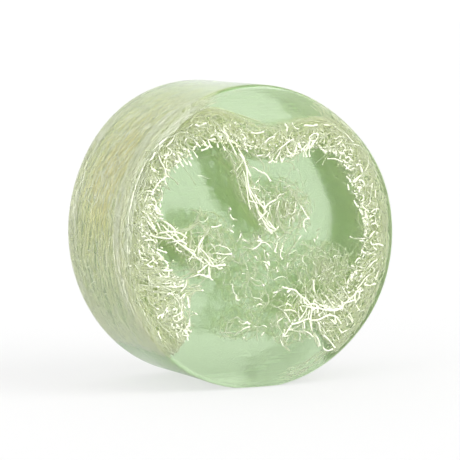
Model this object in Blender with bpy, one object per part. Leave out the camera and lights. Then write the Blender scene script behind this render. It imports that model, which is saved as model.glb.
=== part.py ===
"""Loofah soap bar.

A round bar of clear green glycerine soap, cast round a cross slice of a
natural loofah.  The bar stands on its rim: +Z is up, the bar's axis lies
along Y, the front cut face looks along -Y and the world origin is at the
bottom centre of the bounding box.

Seen from the front, the loofah wall is a C that opens downwards.  It has three
layers: an outer fibre mat, a sponge wall and the linings of two seed chambers.
Three webs, the septa, reach from near the wall towards the middle, and nets of
strands lie among them.  Every piece runs right through the bar, so its cut
ends show on both cut faces.
"""
import math
from typing import NamedTuple

import bmesh
import bpy


class Bump(NamedTuple):
    """A smooth swelling of a radius, highest at its angle."""
    angle: float        # degrees
    height: float
    spread: float       # standard deviation in degrees


class Ribbon(NamedTuple):
    """A web along a centre line of (x, z) points, from root to tip."""
    points: tuple
    root_width: float
    tip_width: float


class Net(NamedTuple):
    """A lobed oval pad."""
    x: float
    z: float
    half_width: float
    half_height: float
    lobes: int
    lobe_height: float  # share of the half width and half height


class Finish(NamedTuple):
    colour: tuple
    roughness: float
    transmission: float = 0.0


# ----------------------------------------------------------------- dimensions
# Lengths are in millimetres.  x and z are measured from the bar's axis, and
# angles are in degrees, anticlockwise from +X seen from the front.
MM = 0.001

BAR_DIAMETER = 76.0
BAR_THICKNESS = 34.0            # between the two cut faces
EDGE_ROUND = 1.5                # soft round between the rim and a cut face
EDGE_STEPS = 4
REST_FLAT_WIDTH = 10.0          # flat on the rim that the bar stands on
BAR_SEGMENTS = 120
# slightly out of round: lobes, height of a lobe, phase in degrees
OUT_OF_ROUND = ((2, 0.27, -124.0), (3, 0.31, 15.0))

GAP = 0.3                       # clearance round the pieces and between layers
OVERSHOOT = 1.0                 # how far a cutter stands out of the cut faces
PIECE_DEPTH = BAR_THICKNESS / 2             # depths run each way from y = 0
MOULD_DEPTH = PIECE_DEPTH + OVERSHOOT

# loofah wall
WALL_START, WALL_END = -57.0, 232.0
WALL_OUTER_RADIUS = 36.0        # outside of the fibre mat
WALL_INNER_RADIUS = 28.4        # inside of the wall, away from the thick places
TOP_DENT = Bump(angle=85.0, height=8.2, spread=17.0)    # outside folds inwards
THICK_PLACES = (                                        # inside swells inwards
    Bump(angle=88.0, height=8.6, spread=15.0),
    Bump(angle=207.0, height=5.4, spread=12.0),
    Bump(angle=-52.0, height=3.6, spread=12.0),
)
MAT_THICKNESS = 1.5
LINING_THICKNESS = 1.2
LININGS = {                     # start and end angle
    "right_chamber_lining": (-46.0, 70.0),
    "left_chamber_lining": (104.0, 190.0),
}
RECESS_MARGIN = 6.0             # degrees the sponge's recess runs past a lining
RECESS_FADE = 4.0               # degrees in which the recess reaches full depth
WALL_STEP = 3.0                 # degrees between sections of the wall

# the septa and one stray fibre
RIBBONS = {
    "upper_septum": Ribbon(((-6.9, 20.9), (-4.4, 16.6), (-2.2, 10.4), (0.6, 5.6)),
                           root_width=3.2, tip_width=2.2),
    "left_septum": Ribbon(((-25.6, 1.6), (-22.0, 0.4), (-18.6, -1.9)),
                          root_width=2.2, tip_width=1.8),
    "right_septum": Ribbon(((21.4, -13.4), (17.4, -16.4), (12.8, -17.2)),
                           root_width=3.0, tip_width=2.2),
    "stray_fibre": Ribbon(((-17.2, 16.2), (-15.2, 15.4), (-13.0, 15.0)),
                          root_width=1.0, tip_width=0.8),
}
RIBBON_STEPS = 6                # sections between two points of a ribbon

# x, z, half width, half height, lobes, lobe height
NETS = {
    "left_net": Net(-13.6, -1.2, 4.0, 5.0, 5, 0.10),
    "upper_net": Net(8.0, 6.4, 5.6, 5.2, 5, 0.09),
    "centre_net": Net(-0.2, -6.6, 6.6, 6.4, 6, 0.08),
    "right_net": Net(17.8, -6.6, 4.6, 4.4, 4, 0.08),
    "lower_net": Net(7.6, -24.2, 5.2, 4.0, 5, 0.10),
    "loose_tuft": Net(-4.6, -22.6, 5.0, 3.2, 5, 0.12),
}
NET_SEGMENTS = 30

SHARP_ANGLE = 38.0              # edges that turn more than this are shaded sharp


# ------------------------------------------------------------------ materials
FINISHES = {
    "clear_green_soap": Finish((0.52, 0.72, 0.42), roughness=0.22, transmission=0.75),
    "tan_fibre": Finish((0.62, 0.60, 0.32), roughness=0.65),
    "cream_fibre": Finish((0.80, 0.82, 0.55), roughness=0.60),
    "pale_fibre": Finish((0.88, 0.92, 0.74), roughness=0.55),
}
METALLIC = 0.0                  # shared by all finishes
REFRACTIVE_INDEX = 1.47         # shared by all finishes


def material(name):
    """The named material, made on first use."""
    mat = bpy.data.materials.get(name)
    if mat is None:
        finish = FINISHES[name]
        colour = (*finish.colour, 1.0)
        mat = bpy.data.materials.new(name)
        mat.use_nodes = True
        inputs = mat.node_tree.nodes["Principled BSDF"].inputs
        inputs["Base Color"].default_value = colour
        inputs["Roughness"].default_value = finish.roughness
        inputs["Metallic"].default_value = METALLIC
        inputs["Transmission Weight"].default_value = finish.transmission
        inputs["IOR"].default_value = REFRACTIVE_INDEX
        mat.diffuse_color = colour
    return mat


# ------------------------------------------------------------------- outlines
def polar(radius, angle):
    """The (x, z) of a point given by its radius and its angle in degrees."""
    turn = math.radians(angle)
    return radius * math.cos(turn), radius * math.sin(turn)


def bar_radius(angle):
    radius = BAR_DIAMETER / 2
    for lobes, height, phase in OUT_OF_ROUND:
        radius += height * math.cos(math.radians(lobes * angle - phase))
    return radius


def axis_position():
    """World x and z of the bar's axis: bar centred in x, flat at z = 0."""
    reach = [polar(bar_radius(angle), angle)[0] for angle in range(360)]
    height = math.sqrt(bar_radius(-90.0) ** 2 - (REST_FLAT_WIDTH / 2) ** 2)
    return -(max(reach) + min(reach)) / 2, height


AXIS_X, AXIS_Z = axis_position()


def bump_height(angle, bump):
    away = (angle - bump.angle + 180.0) % 360.0 - 180.0
    return bump.height * math.exp(-0.5 * (away / bump.spread) ** 2)


def wall_outer(angle):
    return WALL_OUTER_RADIUS - bump_height(angle, TOP_DENT)


def wall_inner(angle):
    return WALL_INNER_RADIUS - sum(bump_height(angle, bump) for bump in THICK_PLACES)


def mat_inner(angle):
    return wall_outer(angle) - MAT_THICKNESS


def sponge_outer(angle):
    return mat_inner(angle) - GAP


def ease(value):
    """Smooth step from 0 to 1."""
    value = min(1.0, max(0.0, value))
    return value * value * (3.0 - 2.0 * value)


def lining_share(angle):
    """1 where a lining covers the sponge, fading to 0 where it is bare."""
    return max(ease((angle - start + RECESS_MARGIN) / RECESS_FADE)
               * ease((end + RECESS_MARGIN - angle) / RECESS_FADE)
               for start, end in LININGS.values())


def sponge_inner(angle):
    return wall_inner(angle) + (LINING_THICKNESS + GAP) * lining_share(angle)


def lining_outer(angle):
    return wall_inner(angle) + LINING_THICKNESS


def mould_outer(angle):
    return wall_outer(angle) + GAP


def mould_inner(angle):
    return wall_inner(angle) - GAP


def smooth_line(points, steps):
    """Catmull-Rom curve through the points, with mirrored points past each end."""
    first = tuple(2 * a - b for a, b in zip(points[0], points[1]))
    last = tuple(2 * a - b for a, b in zip(points[-1], points[-2]))
    padded = [first, *points, last]
    line = []
    for k in range(len(points) - 1):
        for step in range(steps):
            t = step / steps
            line.append(tuple(
                0.5 * (2 * b + (c - a) * t + (2 * a - 5 * b + 4 * c - d) * t ** 2
                       + (3 * b - a - 3 * c + d) * t ** 3)
                for a, b, c, d in zip(*padded[k:k + 4])))
    line.append(points[-1])
    return line


# --------------------------------------------------------------------- meshes
def close_mesh(bm, name):
    bmesh.ops.recalc_face_normals(bm, faces=bm.faces)
    mesh = bpy.data.meshes.new(name)
    bm.to_mesh(mesh)
    bm.free()
    return mesh


def add_vertices(bm, outline, y):
    """Vertices at depth y for an outline of (x, z) points."""
    return [bm.verts.new((x * MM, y * MM, z * MM)) for x, z in outline]


def strip_mesh(name, left, right, depth):
    """A band between two matching lines of (x, z), from -depth to depth in y."""
    bm = bmesh.new()
    front_l, front_r, back_l, back_r = [
        add_vertices(bm, line, y) for y in (-depth, depth) for line in (left, right)]
    for i in range(len(left) - 1):
        j = i + 1
        bm.faces.new((front_l[i], front_l[j], front_r[j], front_r[i]))
        bm.faces.new((back_l[i], back_r[i], back_r[j], back_l[j]))
        bm.faces.new((front_l[i], back_l[i], back_l[j], front_l[j]))
        bm.faces.new((front_r[i], front_r[j], back_r[j], back_r[i]))
    for end in (0, -1):
        bm.faces.new((front_l[end], front_r[end], back_r[end], back_l[end]))
    return close_mesh(bm, name)


def ring_mesh(name, sections):
    """A capped solid through (y, closed outline) sections, front to back."""
    bm = bmesh.new()
    rings = [add_vertices(bm, outline, y) for y, outline in sections]
    for front, back in zip(rings, rings[1:]):
        for i in range(len(front)):
            j = (i + 1) % len(front)
            bm.faces.new((front[i], back[i], back[j], front[j]))
    bm.faces.new(rings[0])
    bm.faces.new(rings[-1])
    return close_mesh(bm, name)


def arc_mesh(name, outer, inner, start, end, depth):
    """Part of the wall between two radius functions and two angles."""
    count = max(2, round((end - start) / WALL_STEP))
    angles = [start + (end - start) * i / count for i in range(count + 1)]
    return strip_mesh(name, [polar(outer(angle), angle) for angle in angles],
                      [polar(inner(angle), angle) for angle in angles], depth)


def ribbon_mesh(name, ribbon, depth, grow=0.0):
    """A ribbon, optionally grown on its sides and at both ends."""
    line = smooth_line(ribbon.points, RIBBON_STEPS)
    last = len(line) - 1
    left, right = [], []
    for i, (x, z) in enumerate(line):
        before_x, before_z = line[max(0, i - 1)]
        after_x, after_z = line[min(last, i + 1)]
        length = math.hypot(after_x - before_x, after_z - before_z)
        along_x = (after_x - before_x) / length
        along_z = (after_z - before_z) / length
        width = ribbon.root_width + (ribbon.tip_width - ribbon.root_width) * i / last
        half = width / 2 + grow
        push = {0: -grow, last: grow}.get(i, 0.0)
        x += along_x * push
        z += along_z * push
        left.append((x - along_z * half, z + along_x * half))
        right.append((x + along_z * half, z - along_x * half))
    return strip_mesh(name, left, right, depth)


def net_mesh(name, net, depth, grow=0.0):
    """A net's pad, optionally grown."""
    outline = []
    for i in range(NET_SEGMENTS):
        turn = 2 * math.pi * i / NET_SEGMENTS
        # x doubles as the phase in radians, so the nets differ
        swell = 1.0 + net.lobe_height * math.cos(net.lobes * turn + net.x)
        outline.append((net.x + (net.half_width * swell + grow) * math.cos(turn),
                        net.z + (net.half_height * swell + grow) * math.sin(turn)))
    return ring_mesh(name, [(-depth, outline), (depth, outline)])


def bar_outline(inset):
    """The bar's outline, moved inwards and cut off by the resting flat."""
    outline = []
    for i in range(BAR_SEGMENTS):
        angle = 360.0 * i / BAR_SEGMENTS - 90.0
        x, z = polar(bar_radius(angle) - inset, angle)
        outline.append((x, max(z, -AXIS_Z)))
    return outline


def bar_mesh(name):
    """The round bar, with soft edges and the flat that it rests on."""
    front_edge = []             # y and inset
    for k in range(EDGE_STEPS + 1):
        turn = math.pi / 2 * k / EDGE_STEPS
        front_edge.append((-BAR_THICKNESS / 2 + EDGE_ROUND * (1 - math.sin(turn)),
                           EDGE_ROUND * (1 - math.cos(turn))))
    back_edge = [(-y, inset) for y, inset in front_edge]
    return ring_mesh(name, [(y, bar_outline(inset))
                            for y, inset in sorted(front_edge + back_edge)])


# -------------------------------------------------------------------- objects
def add_piece(mesh, material_name, prefix=""):
    """An object named after its mesh, with its origin on the bar's axis."""
    obj = bpy.data.objects.new(prefix + mesh.name, mesh)
    bpy.context.collection.objects.link(obj)
    obj.location = (AXIS_X * MM, 0.0, AXIS_Z * MM)
    mesh.materials.append(material(material_name))
    mesh.shade_smooth()
    mesh.set_sharp_from_angle(angle=math.radians(SHARP_ANGLE))
    return obj


def cut(body, mesh):
    """Take a mould shape out of the body."""
    cutter = add_piece(mesh, "clear_green_soap", prefix="cutter_")
    cutter.hide_render = True
    cutter.display_type = 'WIRE'
    modifier = body.modifiers.new(cutter.name, 'BOOLEAN')
    modifier.operation = 'DIFFERENCE'
    modifier.solver = 'EXACT'
    modifier.object = cutter


def add_wall(soap):
    """The three layers of the wall, in one shared mould."""
    add_piece(arc_mesh("outer_fibre_mat", wall_outer, mat_inner,
                       WALL_START, WALL_END, PIECE_DEPTH), "tan_fibre")
    add_piece(arc_mesh("sponge_wall", sponge_outer, sponge_inner,
                       WALL_START, WALL_END, PIECE_DEPTH), "cream_fibre")
    for name, (start, end) in LININGS.items():
        add_piece(arc_mesh(name, lining_outer, wall_inner, start, end, PIECE_DEPTH),
                  "pale_fibre")
    end_gap = math.degrees(GAP / WALL_INNER_RADIUS)
    cut(soap, arc_mesh("wall_mould", mould_outer, mould_inner,
                       WALL_START - end_gap, WALL_END + end_gap, MOULD_DEPTH))


def add_inserts(soap, shapes, make_mesh):
    """Pale pieces, each in its own slightly larger mould."""
    for name, shape in shapes.items():
        add_piece(make_mesh(name, shape, PIECE_DEPTH), "pale_fibre")
        cut(soap, make_mesh(name + "_mould", shape, MOULD_DEPTH, grow=GAP))


def clear_scene():
    for obj in list(bpy.data.objects):
        bpy.data.objects.remove(obj, do_unlink=True)


def build():
    clear_scene()
    soap = add_piece(bar_mesh("soap_casting"), "clear_green_soap")
    add_wall(soap)
    add_inserts(soap, RIBBONS, ribbon_mesh)
    add_inserts(soap, NETS, net_mesh)


build()
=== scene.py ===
"""A round bar of clear green soap with a slice of loofah cast in it.

The bar stands on its rim on the floor.  Its axis runs along y, from the front cut
face (-y) to the back one (+y); +x is right and +z is up.  Lengths are in mm from
the bar's axis, and angles in degrees from +x towards +z; mesh_from() turns them
into metres in the frame.  The loofah is a wall that runs most of the way round,
divided inside by septa and nets of strands."""
import math
from functools import partial

import bpy
import numpy as np
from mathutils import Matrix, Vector
from numpy.random import default_rng


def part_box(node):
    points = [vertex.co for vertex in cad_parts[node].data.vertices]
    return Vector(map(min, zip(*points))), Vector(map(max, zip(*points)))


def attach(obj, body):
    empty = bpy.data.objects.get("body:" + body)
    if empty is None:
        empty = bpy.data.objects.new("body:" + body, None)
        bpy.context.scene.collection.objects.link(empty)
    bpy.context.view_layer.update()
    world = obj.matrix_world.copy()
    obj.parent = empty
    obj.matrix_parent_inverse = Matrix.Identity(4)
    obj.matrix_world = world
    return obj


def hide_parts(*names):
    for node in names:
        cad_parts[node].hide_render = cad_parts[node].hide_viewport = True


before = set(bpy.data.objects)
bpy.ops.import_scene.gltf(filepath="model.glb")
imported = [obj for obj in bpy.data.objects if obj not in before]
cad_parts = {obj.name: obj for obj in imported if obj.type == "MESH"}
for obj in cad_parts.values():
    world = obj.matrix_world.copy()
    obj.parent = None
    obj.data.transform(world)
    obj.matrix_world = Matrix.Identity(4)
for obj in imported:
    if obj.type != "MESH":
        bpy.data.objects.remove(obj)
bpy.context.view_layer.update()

# ------------------------------------------------------------------ frame sizes
MM = 0.001
BAR_LO, BAR_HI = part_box("soap_casting")
HALF_Y = (BAR_HI.y - BAR_LO.y) / 2 / MM            # half the bar's thickness
AXIS_X = (BAR_HI.x + BAR_LO.x) / 2 / MM - 0.30
AXIS_Z = 37.90                                     # height of the bar's axis
BAR_RADIUS = 38.0
OUT_OF_ROUND = ((2, 0.27, -124.0), (3, 0.31, 15.0))     # lobes, height, towards
BAR_BULGE = (-22.0, 1.25, 38.0)                    # centre, height, spread
WALL_START, WALL_END = -55.0, 231.0
END_SHIFT = 10.0           # how much sooner the wall's right end stops at the back
WALL_OUTER = 36.7
WALL_OUTER_DIP = (85.0, -8.6, 17.0)                # centre, height, spread
WALL_INNER = 28.4
WALL_INNER_BUMPS = (                               # centre, height, spread
    (88.0, -8.8, 15.0), (207.0, -5.6, 12.0), (-52.0, -3.6, 12.0), (38.0, 1.6, 9.0),
    (-1.0, 2.2, 14.0), (147.0, 1.8, 8.0), (67.0, -4.0, 9.0))
CHAMBER_FLARE = (12.0, 2.6, 30.0)
BACK_DIP = (62.0, 4.2, 13.0)
MARGIN = -14.0             # middle of the clear margin on the right
CUT_DEPTH = 0.45           # depth over which a strand turns from white to wet
FRONT, BACK = -1, 1


# ------------------------------------------------------------------ sections
def bump(angle, centre, height, spread):
    away = (np.asarray(angle, float) - centre + 180.0) % 360.0 - 180.0
    return height * np.exp(-0.5 * (away / spread) ** 2)


def bar_radius(angle):
    angle = np.asarray(angle, float)
    radius = np.full(angle.shape, BAR_RADIUS)
    for lobes, height, towards in OUT_OF_ROUND:
        radius = radius + height * np.cos(np.radians(lobes * angle - towards))
    return radius + bump(angle, *BAR_BULGE)


def wall_outer(angle):
    return WALL_OUTER + bump(angle, *WALL_OUTER_DIP)


def wall_inner(angle):
    radius = WALL_INNER
    for one in WALL_INNER_BUMPS:
        radius = radius + bump(angle, *one)
    return radius


def mid_radius(angle):
    return (wall_inner(angle) + wall_outer(angle)) / 2


def towards_back(y):
    """0 at the front of the bar, 1 at its back."""
    return np.clip((np.asarray(y, float) + 17.0) / 34.0, 0, 1)


def flare(angle, y):
    """How much wider the right chamber is towards the back face."""
    return bump(angle, *CHAMBER_FLARE) * towards_back(y)


def outer_at(angle, y):
    """The wall's outer outline; over the top right it dips more at the back."""
    return wall_outer(angle) - bump(angle, *BACK_DIP) * towards_back(y)


def hold_ends(angle, y):
    """Folds angles past the loofah's ends back inside, so nothing bunches up."""
    start = WALL_START + END_SHIFT * towards_back(y)
    angle = np.where(angle < start, 2 * start - angle, angle)
    return np.where(angle > WALL_END, 2 * WALL_END - angle, angle)


def polar(radius, angle):
    angle = np.radians(angle)
    return radius * np.cos(angle), radius * np.sin(angle)


def round_bar(radius, angle, y):
    """Points round the bar's axis, at depth y."""
    x, z = polar(radius, angle)
    return np.stack([x, np.broadcast_to(y, x.shape), z], -1)


def under_face(side, depth):
    return side * (HALF_Y - depth)


# ---------------------------------------------------------------- mesh writing
def mesh_from(name, vertices, faces_by_size, uvs=None):
    """faces_by_size is a list of (n, k) index arrays, uvs of (n, k, 2) arrays."""
    mesh = bpy.data.meshes.new(name)
    places = (vertices + [AXIS_X, 0.0, AXIS_Z]) * MM
    loops = np.concatenate([f.ravel() for f in faces_by_size]).astype(np.int32)
    totals = np.concatenate([np.full(len(f), f.shape[1]) for f in faces_by_size])
    starts = np.concatenate([[0], np.cumsum(totals)[:-1]]).astype(np.int32)
    mesh.vertices.add(len(places))
    mesh.vertices.foreach_set("co", places.astype(np.float32).ravel())
    mesh.loops.add(len(loops))
    mesh.loops.foreach_set("vertex_index", loops)
    mesh.polygons.add(len(starts))
    mesh.polygons.foreach_set("loop_start", starts)
    mesh.update(calc_edges=True)
    if uvs is not None:
        layer = mesh.uv_layers.new(name="OFBake")
        flat = np.concatenate([uv.reshape(-1, 2) for uv in uvs]).astype(np.float32)
        layer.data.foreach_set("uv", flat.ravel())
    mesh.polygons.foreach_set("use_smooth", np.ones(len(starts), bool))
    mesh.validate()
    mesh.update()
    return mesh


def link_object(name, data):
    obj = bpy.data.objects.new(name, data)
    bpy.context.scene.collection.objects.link(obj)
    return obj


def put(name, mesh, material, node):
    obj = link_object(name, mesh)
    mesh.materials.append(material)
    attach(obj, "root")
    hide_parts(node)
    return obj


# --------------------------------------------------------------------- strands
def keep_inside(paths, radii, skin):
    """Holds every point inside the soap's rim and at or inside its cut faces."""
    x, y, z = paths[..., 0], paths[..., 1], paths[..., 2]
    angle = np.degrees(np.arctan2(z, x))
    near_edge = np.clip((np.abs(y) - (HALF_Y - 1.6)) / 1.6, 0, 1)
    limit = bar_radius(angle) - skin - radii - 1.3 * near_edge ** 2
    shrink = np.minimum(1.0, limit / np.maximum(np.hypot(x, z), 1e-6))
    return np.stack([x * shrink, np.clip(y, -HALF_Y - 0.02, HALF_Y + 0.02),
                     np.maximum(z * shrink, -AXIS_Z + 0.6)], -1)


def ring_axes(paths):
    """Two directions across a strand at each point, carried on without twist."""
    along = np.gradient(paths, axis=1)
    along /= np.linalg.norm(along, axis=2, keepdims=True) + 1e-9
    upright = np.where(np.abs(along[:, 0, 2:3]) < 0.8, [[0.0, 0.0, 1.0]],
                       [[1.0, 0.0, 0.0]])
    across = np.empty_like(paths)
    axis = np.cross(along[:, 0], upright)
    axis /= np.linalg.norm(axis, axis=1, keepdims=True)
    across[:, 0] = axis
    for k in range(1, paths.shape[1]):
        axis = axis - (axis * along[:, k]).sum(1, keepdims=True) * along[:, k]
        axis /= np.linalg.norm(axis, axis=1, keepdims=True) + 1e-9
        across[:, k] = axis
    return across, np.cross(along, across)


class Strands:
    """Gathers batches of strands; those in a batch have as many points each."""

    def __init__(self):
        self.batches = []

    def add(self, paths, radii, tint, sides, dry=0.0, skin=0.35):
        self.batches.append((keep_inside(paths, radii, skin), radii, tint, sides, dry))

    def mesh(self, name):
        vertices, tubes, tube_uvs, caps, cap_uvs = [], [], [], [], []
        used = 0
        for paths, radii, tint, sides, dry in self.batches:
            count, points, _ = paths.shape
            across, over = ring_axes(paths)
            turn = 2 * np.pi * np.arange(sides) / sides
            rings = (paths[:, :, None] + radii[:, :, None, None]
                     * (np.cos(turn)[:, None] * across[:, :, None]
                        + np.sin(turn)[:, None] * over[:, :, None]))
            vertices.append(rings.reshape(-1, 3))
            index = used + np.arange(count * points * sides).reshape(
                count, points, sides)
            used += index.size
            beside = np.roll(index, -1, axis=2)
            tubes.append(np.stack([index[:, :-1], beside[:, :-1], beside[:, 1:],
                                   index[:, 1:]], -1).reshape(-1, 4))
            caps += [index[:, 0, ::-1], index[:, -1]]
            # u: 1 at a cut face, 0 deep inside; v: the strand's own tint
            depth = HALF_Y - np.abs(paths[:, :, 1])
            u = np.exp(-np.clip(depth, 0, None) / CUT_DEPTH)
            u = 0.02 + 0.96 * np.maximum(u, dry)
            v = 0.02 + 0.9 * tint[:, None] + 0.02 * np.linspace(0, 1, points)
            around = 0.04 * np.arange(sides + 1) / sides
            near, far = slice(None, -1), slice(1, None)
            uv = np.empty((count, points - 1, sides, 4, 2))
            for corner, (step, offset) in enumerate((
                    (near, around[:-1]), (near, around[1:]),
                    (far, around[1:]), (far, around[:-1]))):
                uv[..., corner, 0] = u[:, step, None]
                uv[..., corner, 1] = v[:, step, None] + offset
            tube_uvs.append(uv.reshape(-1, 4, 2))
            for end in (0, -1):
                cap_uvs.append(np.stack([
                    u[:, end, None] + 0.01 * np.cos(turn),
                    v[:, end, None] + 0.02 + 0.01 * np.sin(turn)], -1))
        return mesh_from(name, np.concatenate(vertices), [np.concatenate(tubes), *caps],
                         [np.concatenate(tube_uvs), *cap_uvs])


def spaced(count):
    """Shares along a strand, closer together at its ends."""
    return 0.5 - 0.5 * np.cos(np.pi * np.linspace(0, 1, count))


def bezier(start, end, start_pull, end_pull, points):
    t = spaced(points)[None, :, None]
    start, end, start_pull, end_pull = (
        place[:, None] for place in (start, end, start_pull, end_pull))
    return ((1 - t) ** 3 * start + 3 * (1 - t) ** 2 * t * start_pull
            + 3 * (1 - t) * t ** 2 * end_pull + t ** 3 * end)


def bowed(start, end, bend, points):
    """Curves pulled off the straight line by bend[0] and bend[1]."""
    third = (end - start) / 3
    return bezier(start, end, start + third + bend[0], end - third + bend[1], points)


def thickness(rng, count, points, radii, swell, bulb=0.0, length=4.0):
    """Strands are thicker where they join others at their ends; a bulb is the
    club that a knife leaves on the last half millimetre.  Tips are rounded."""
    radius = rng.uniform(*radii, count)[:, None]
    t = spaced(points)[None]
    shape = 1 + swell * np.abs(2 * t - 1) ** 3
    shape = shape + np.reshape(bulb, (-1, 1)) * np.exp(
        -((1 - t) * np.reshape(length, (-1, 1)) / 0.55) ** 2)
    shape = shape * rng.uniform(0.93, 1.07, (count, points))
    shape[:, [0, -1]] *= 0.45
    return radius * shape


def wall_curves(rng, count, angles, across, y_range, direction, length, wander):
    """Curves drawn in the wall's own coordinates: mm round it, mm across it and
    mm along the bar, which is also the order in direction(share across)."""
    angle = rng.uniform(*angles, count)
    share = rng.uniform(*across, count)
    y = rng.uniform(*y_range, count)
    width = wall_outer(angle) - wall_inner(angle)
    middle = np.stack([np.zeros(count), share * width, y], 1)
    way = direction(share)
    way /= np.linalg.norm(way, axis=1, keepdims=True)
    span = rng.uniform(*length, count)[:, None]
    bend = rng.normal(0, 1, (2, count, 3)) * wander * span
    curve = bowed(middle - way * span / 2, middle + way * span / 2, bend, 8)
    turned = angle[:, None] + np.degrees(curve[..., 0] / mid_radius(angle)[:, None])
    turned = hold_ends(turned, y[:, None])
    inner = wall_inner(turned) + flare(turned, curve[..., 2])
    outer = np.maximum(outer_at(turned, curve[..., 2]), inner + 1.5)
    share = np.clip(curve[..., 1] / width[:, None], 0.0, 1.0)
    return round_bar(inner + share * (outer - inner), turned, curve[..., 2])


# ---------------------------------------------------------------- strand pieces
def wall_place(angle, along, out_by, y):
    """From a place on the wall's inner outline: mm round the wall and mm out."""
    turned = hold_ends(angle + np.degrees(along / mid_radius(angle)), y)
    wide = flare(turned, y)
    width = wall_outer(turned) - wall_inner(turned)
    radius = wall_inner(turned) + wide + out_by * (1 - wide / width)
    edge = outer_at(turned, y) + 0.3         # what would stick out folds back in
    return round_bar(edge - np.abs(edge - radius), turned, y)


def across_wall(rng, angles, shares, count):
    """Random angles, and the width of the wall at each."""
    angle = rng.uniform(*angles, count)
    width = wall_outer(angle) - wall_inner(angle)
    return angle, [rng.uniform(*share, count) * width for share in shares]


def wall_strands(rng, out, side, count, angles, root, tip, slant, radii, deep, lift,
                 curl=0.35, fork=0.55, bulb=(0, 0.9), points=12, sides=6, jitter=0.6):
    """Strands lying in the wall at a cut face.  Each grows from its root, a
    share of the way across the wall and deep under the face, to its tip at the
    face; slant is how far it leans round the wall for each mm across.  Some
    fork on the way."""
    angle, (root_at, tip_at) = across_wall(rng, angles, (root, tip), count)
    lean = slant(angle) + rng.normal(0, jitter, count)
    start = np.stack([np.zeros(count), root_at], 1)
    way = np.stack([(root_at - tip_at) * lean, tip_at], 1) - start
    span = np.linalg.norm(way, axis=1, keepdims=True)
    way = np.where(span < 0.8, way * 0.8 / np.maximum(span, 1e-6), way)
    span = np.linalg.norm(way, axis=1)
    sideways = np.stack([-way[:, 1], way[:, 0]], 1)
    first_curl = rng.normal(0, curl, (count, 1))
    last_curl = first_curl * 0.4 + rng.normal(0, curl, (count, 1))
    curve = bezier(start, start + way, start + way * 0.33 + sideways * first_curl,
                   start + way * 0.72 + sideways * last_curl, points)
    t = spaced(points)[None]
    root_depth = rng.uniform(*deep, count)[:, None]
    tip_depth = rng.uniform(-0.03, 0.25 + lift, count)[:, None]
    depth = root_depth * (1 - t) ** 1.4 + tip_depth
    widths = thickness(rng, count, points, radii, 0.25, rng.uniform(*bulb, count), span)
    tint = rng.uniform(0.15, 1, count)
    out.add(wall_place(angle[:, None], curve[..., 0], curve[..., 1],
                       under_face(side, depth)), widths, tint, sides)

    forked = np.flatnonzero((rng.uniform(0, 1, count) < fork) & (span > 1.6))
    count = len(forked)
    if count:
        knot = rng.integers(3, points - 4, count)
        start = curve[forked, knot]
        way = curve[forked, knot + 1] - curve[forked, knot - 1]
        way /= np.linalg.norm(way, axis=1, keepdims=True)
        turn = rng.choice([-1, 1], count) * np.radians(rng.uniform(24, 58, count))
        way = np.stack([way[:, 0] * np.cos(turn) - way[:, 1] * np.sin(turn),
                        way[:, 0] * np.sin(turn) + way[:, 1] * np.cos(turn)], 1)
        reach = rng.uniform(0.35, 0.75, (count, 1)) * span[forked, None]
        end = start + way * reach
        sideways = np.stack([-way[:, 1], way[:, 0]], 1)
        bend = sideways * rng.normal(0, 0.16, (count, 1)) * reach
        branch = bezier(start, end, start + way * reach * 0.35 + bend,
                        end - way * reach * 0.3 + bend, points)
        depth = (depth[forked, knot][:, None] * (1 - t)
                 + rng.uniform(-0.03, 0.3 + lift, (count, 1)) * t)
        widths = thickness(rng, count, points, (radii[0] * 0.85, radii[1] * 0.85), 0.25,
                           rng.uniform(*bulb, count), reach[:, 0])
        out.add(wall_place(angle[forked][:, None], branch[..., 0], branch[..., 1],
                           under_face(side, depth)), widths, tint[forked], sides)


def cut_stubs(rng, out, side, count, angles, across, length, radii, lean=0.35):
    """Strands that run into the bar, cut square at a face: short dashes."""
    angle, (out_by,) = across_wall(rng, angles, (across,), count)
    span = rng.uniform(*length, count)
    start = np.stack([np.zeros(count), out_by, np.full(count, -0.02)], 1)
    way = np.stack([rng.normal(0, lean, count) * span,
                    rng.normal(0, lean, count) * span, span], 1)
    bend = rng.normal(0, 0.12, (2, count, 3)) * span[:, None] * [1, 1, 0.3]
    curve = bezier(start, start + way, start + way * 0.3 + bend[0],
                   start + way * 0.7 + bend[1], 8)
    paths = wall_place(angle[:, None], curve[..., 0], curve[..., 1],
                       under_face(side, curve[..., 2]))
    out.add(paths, thickness(rng, count, 8, radii, 0.2), rng.uniform(0.2, 1, count), 6)


def cut_loops(rng, out, side, count, angles, across, size, radii):
    """Small hooks and loops of strand lying at the face."""
    def column(low, high):
        return rng.uniform(low, high, count)[:, None]
    t = spaced(14)[None]
    angle, (out_by,) = across_wall(rng, angles, (across,), count)
    radius = column(*size)
    turn = column(0, 2 * np.pi)
    sweep = np.radians(column(110, 300)) * rng.choice([-1, 1], count)[:, None]
    turn = turn + sweep * t
    radius = radius * (1 + column(-0.1, 0.7) * t)
    along = radius * np.cos(turn)
    out_by = out_by[:, None] + radius * np.sin(turn) * column(0.7, 1.2)
    depth = column(0, 0.5) + column(0, 0.8) * t ** 2
    paths = wall_place(angle[:, None], along, out_by, under_face(side, depth))
    widths = thickness(rng, count, 14, radii, 0.2, rng.uniform(0, 0.7, count), 2.5)
    out.add(paths, widths, rng.uniform(0.3, 1, count), 6)


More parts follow.
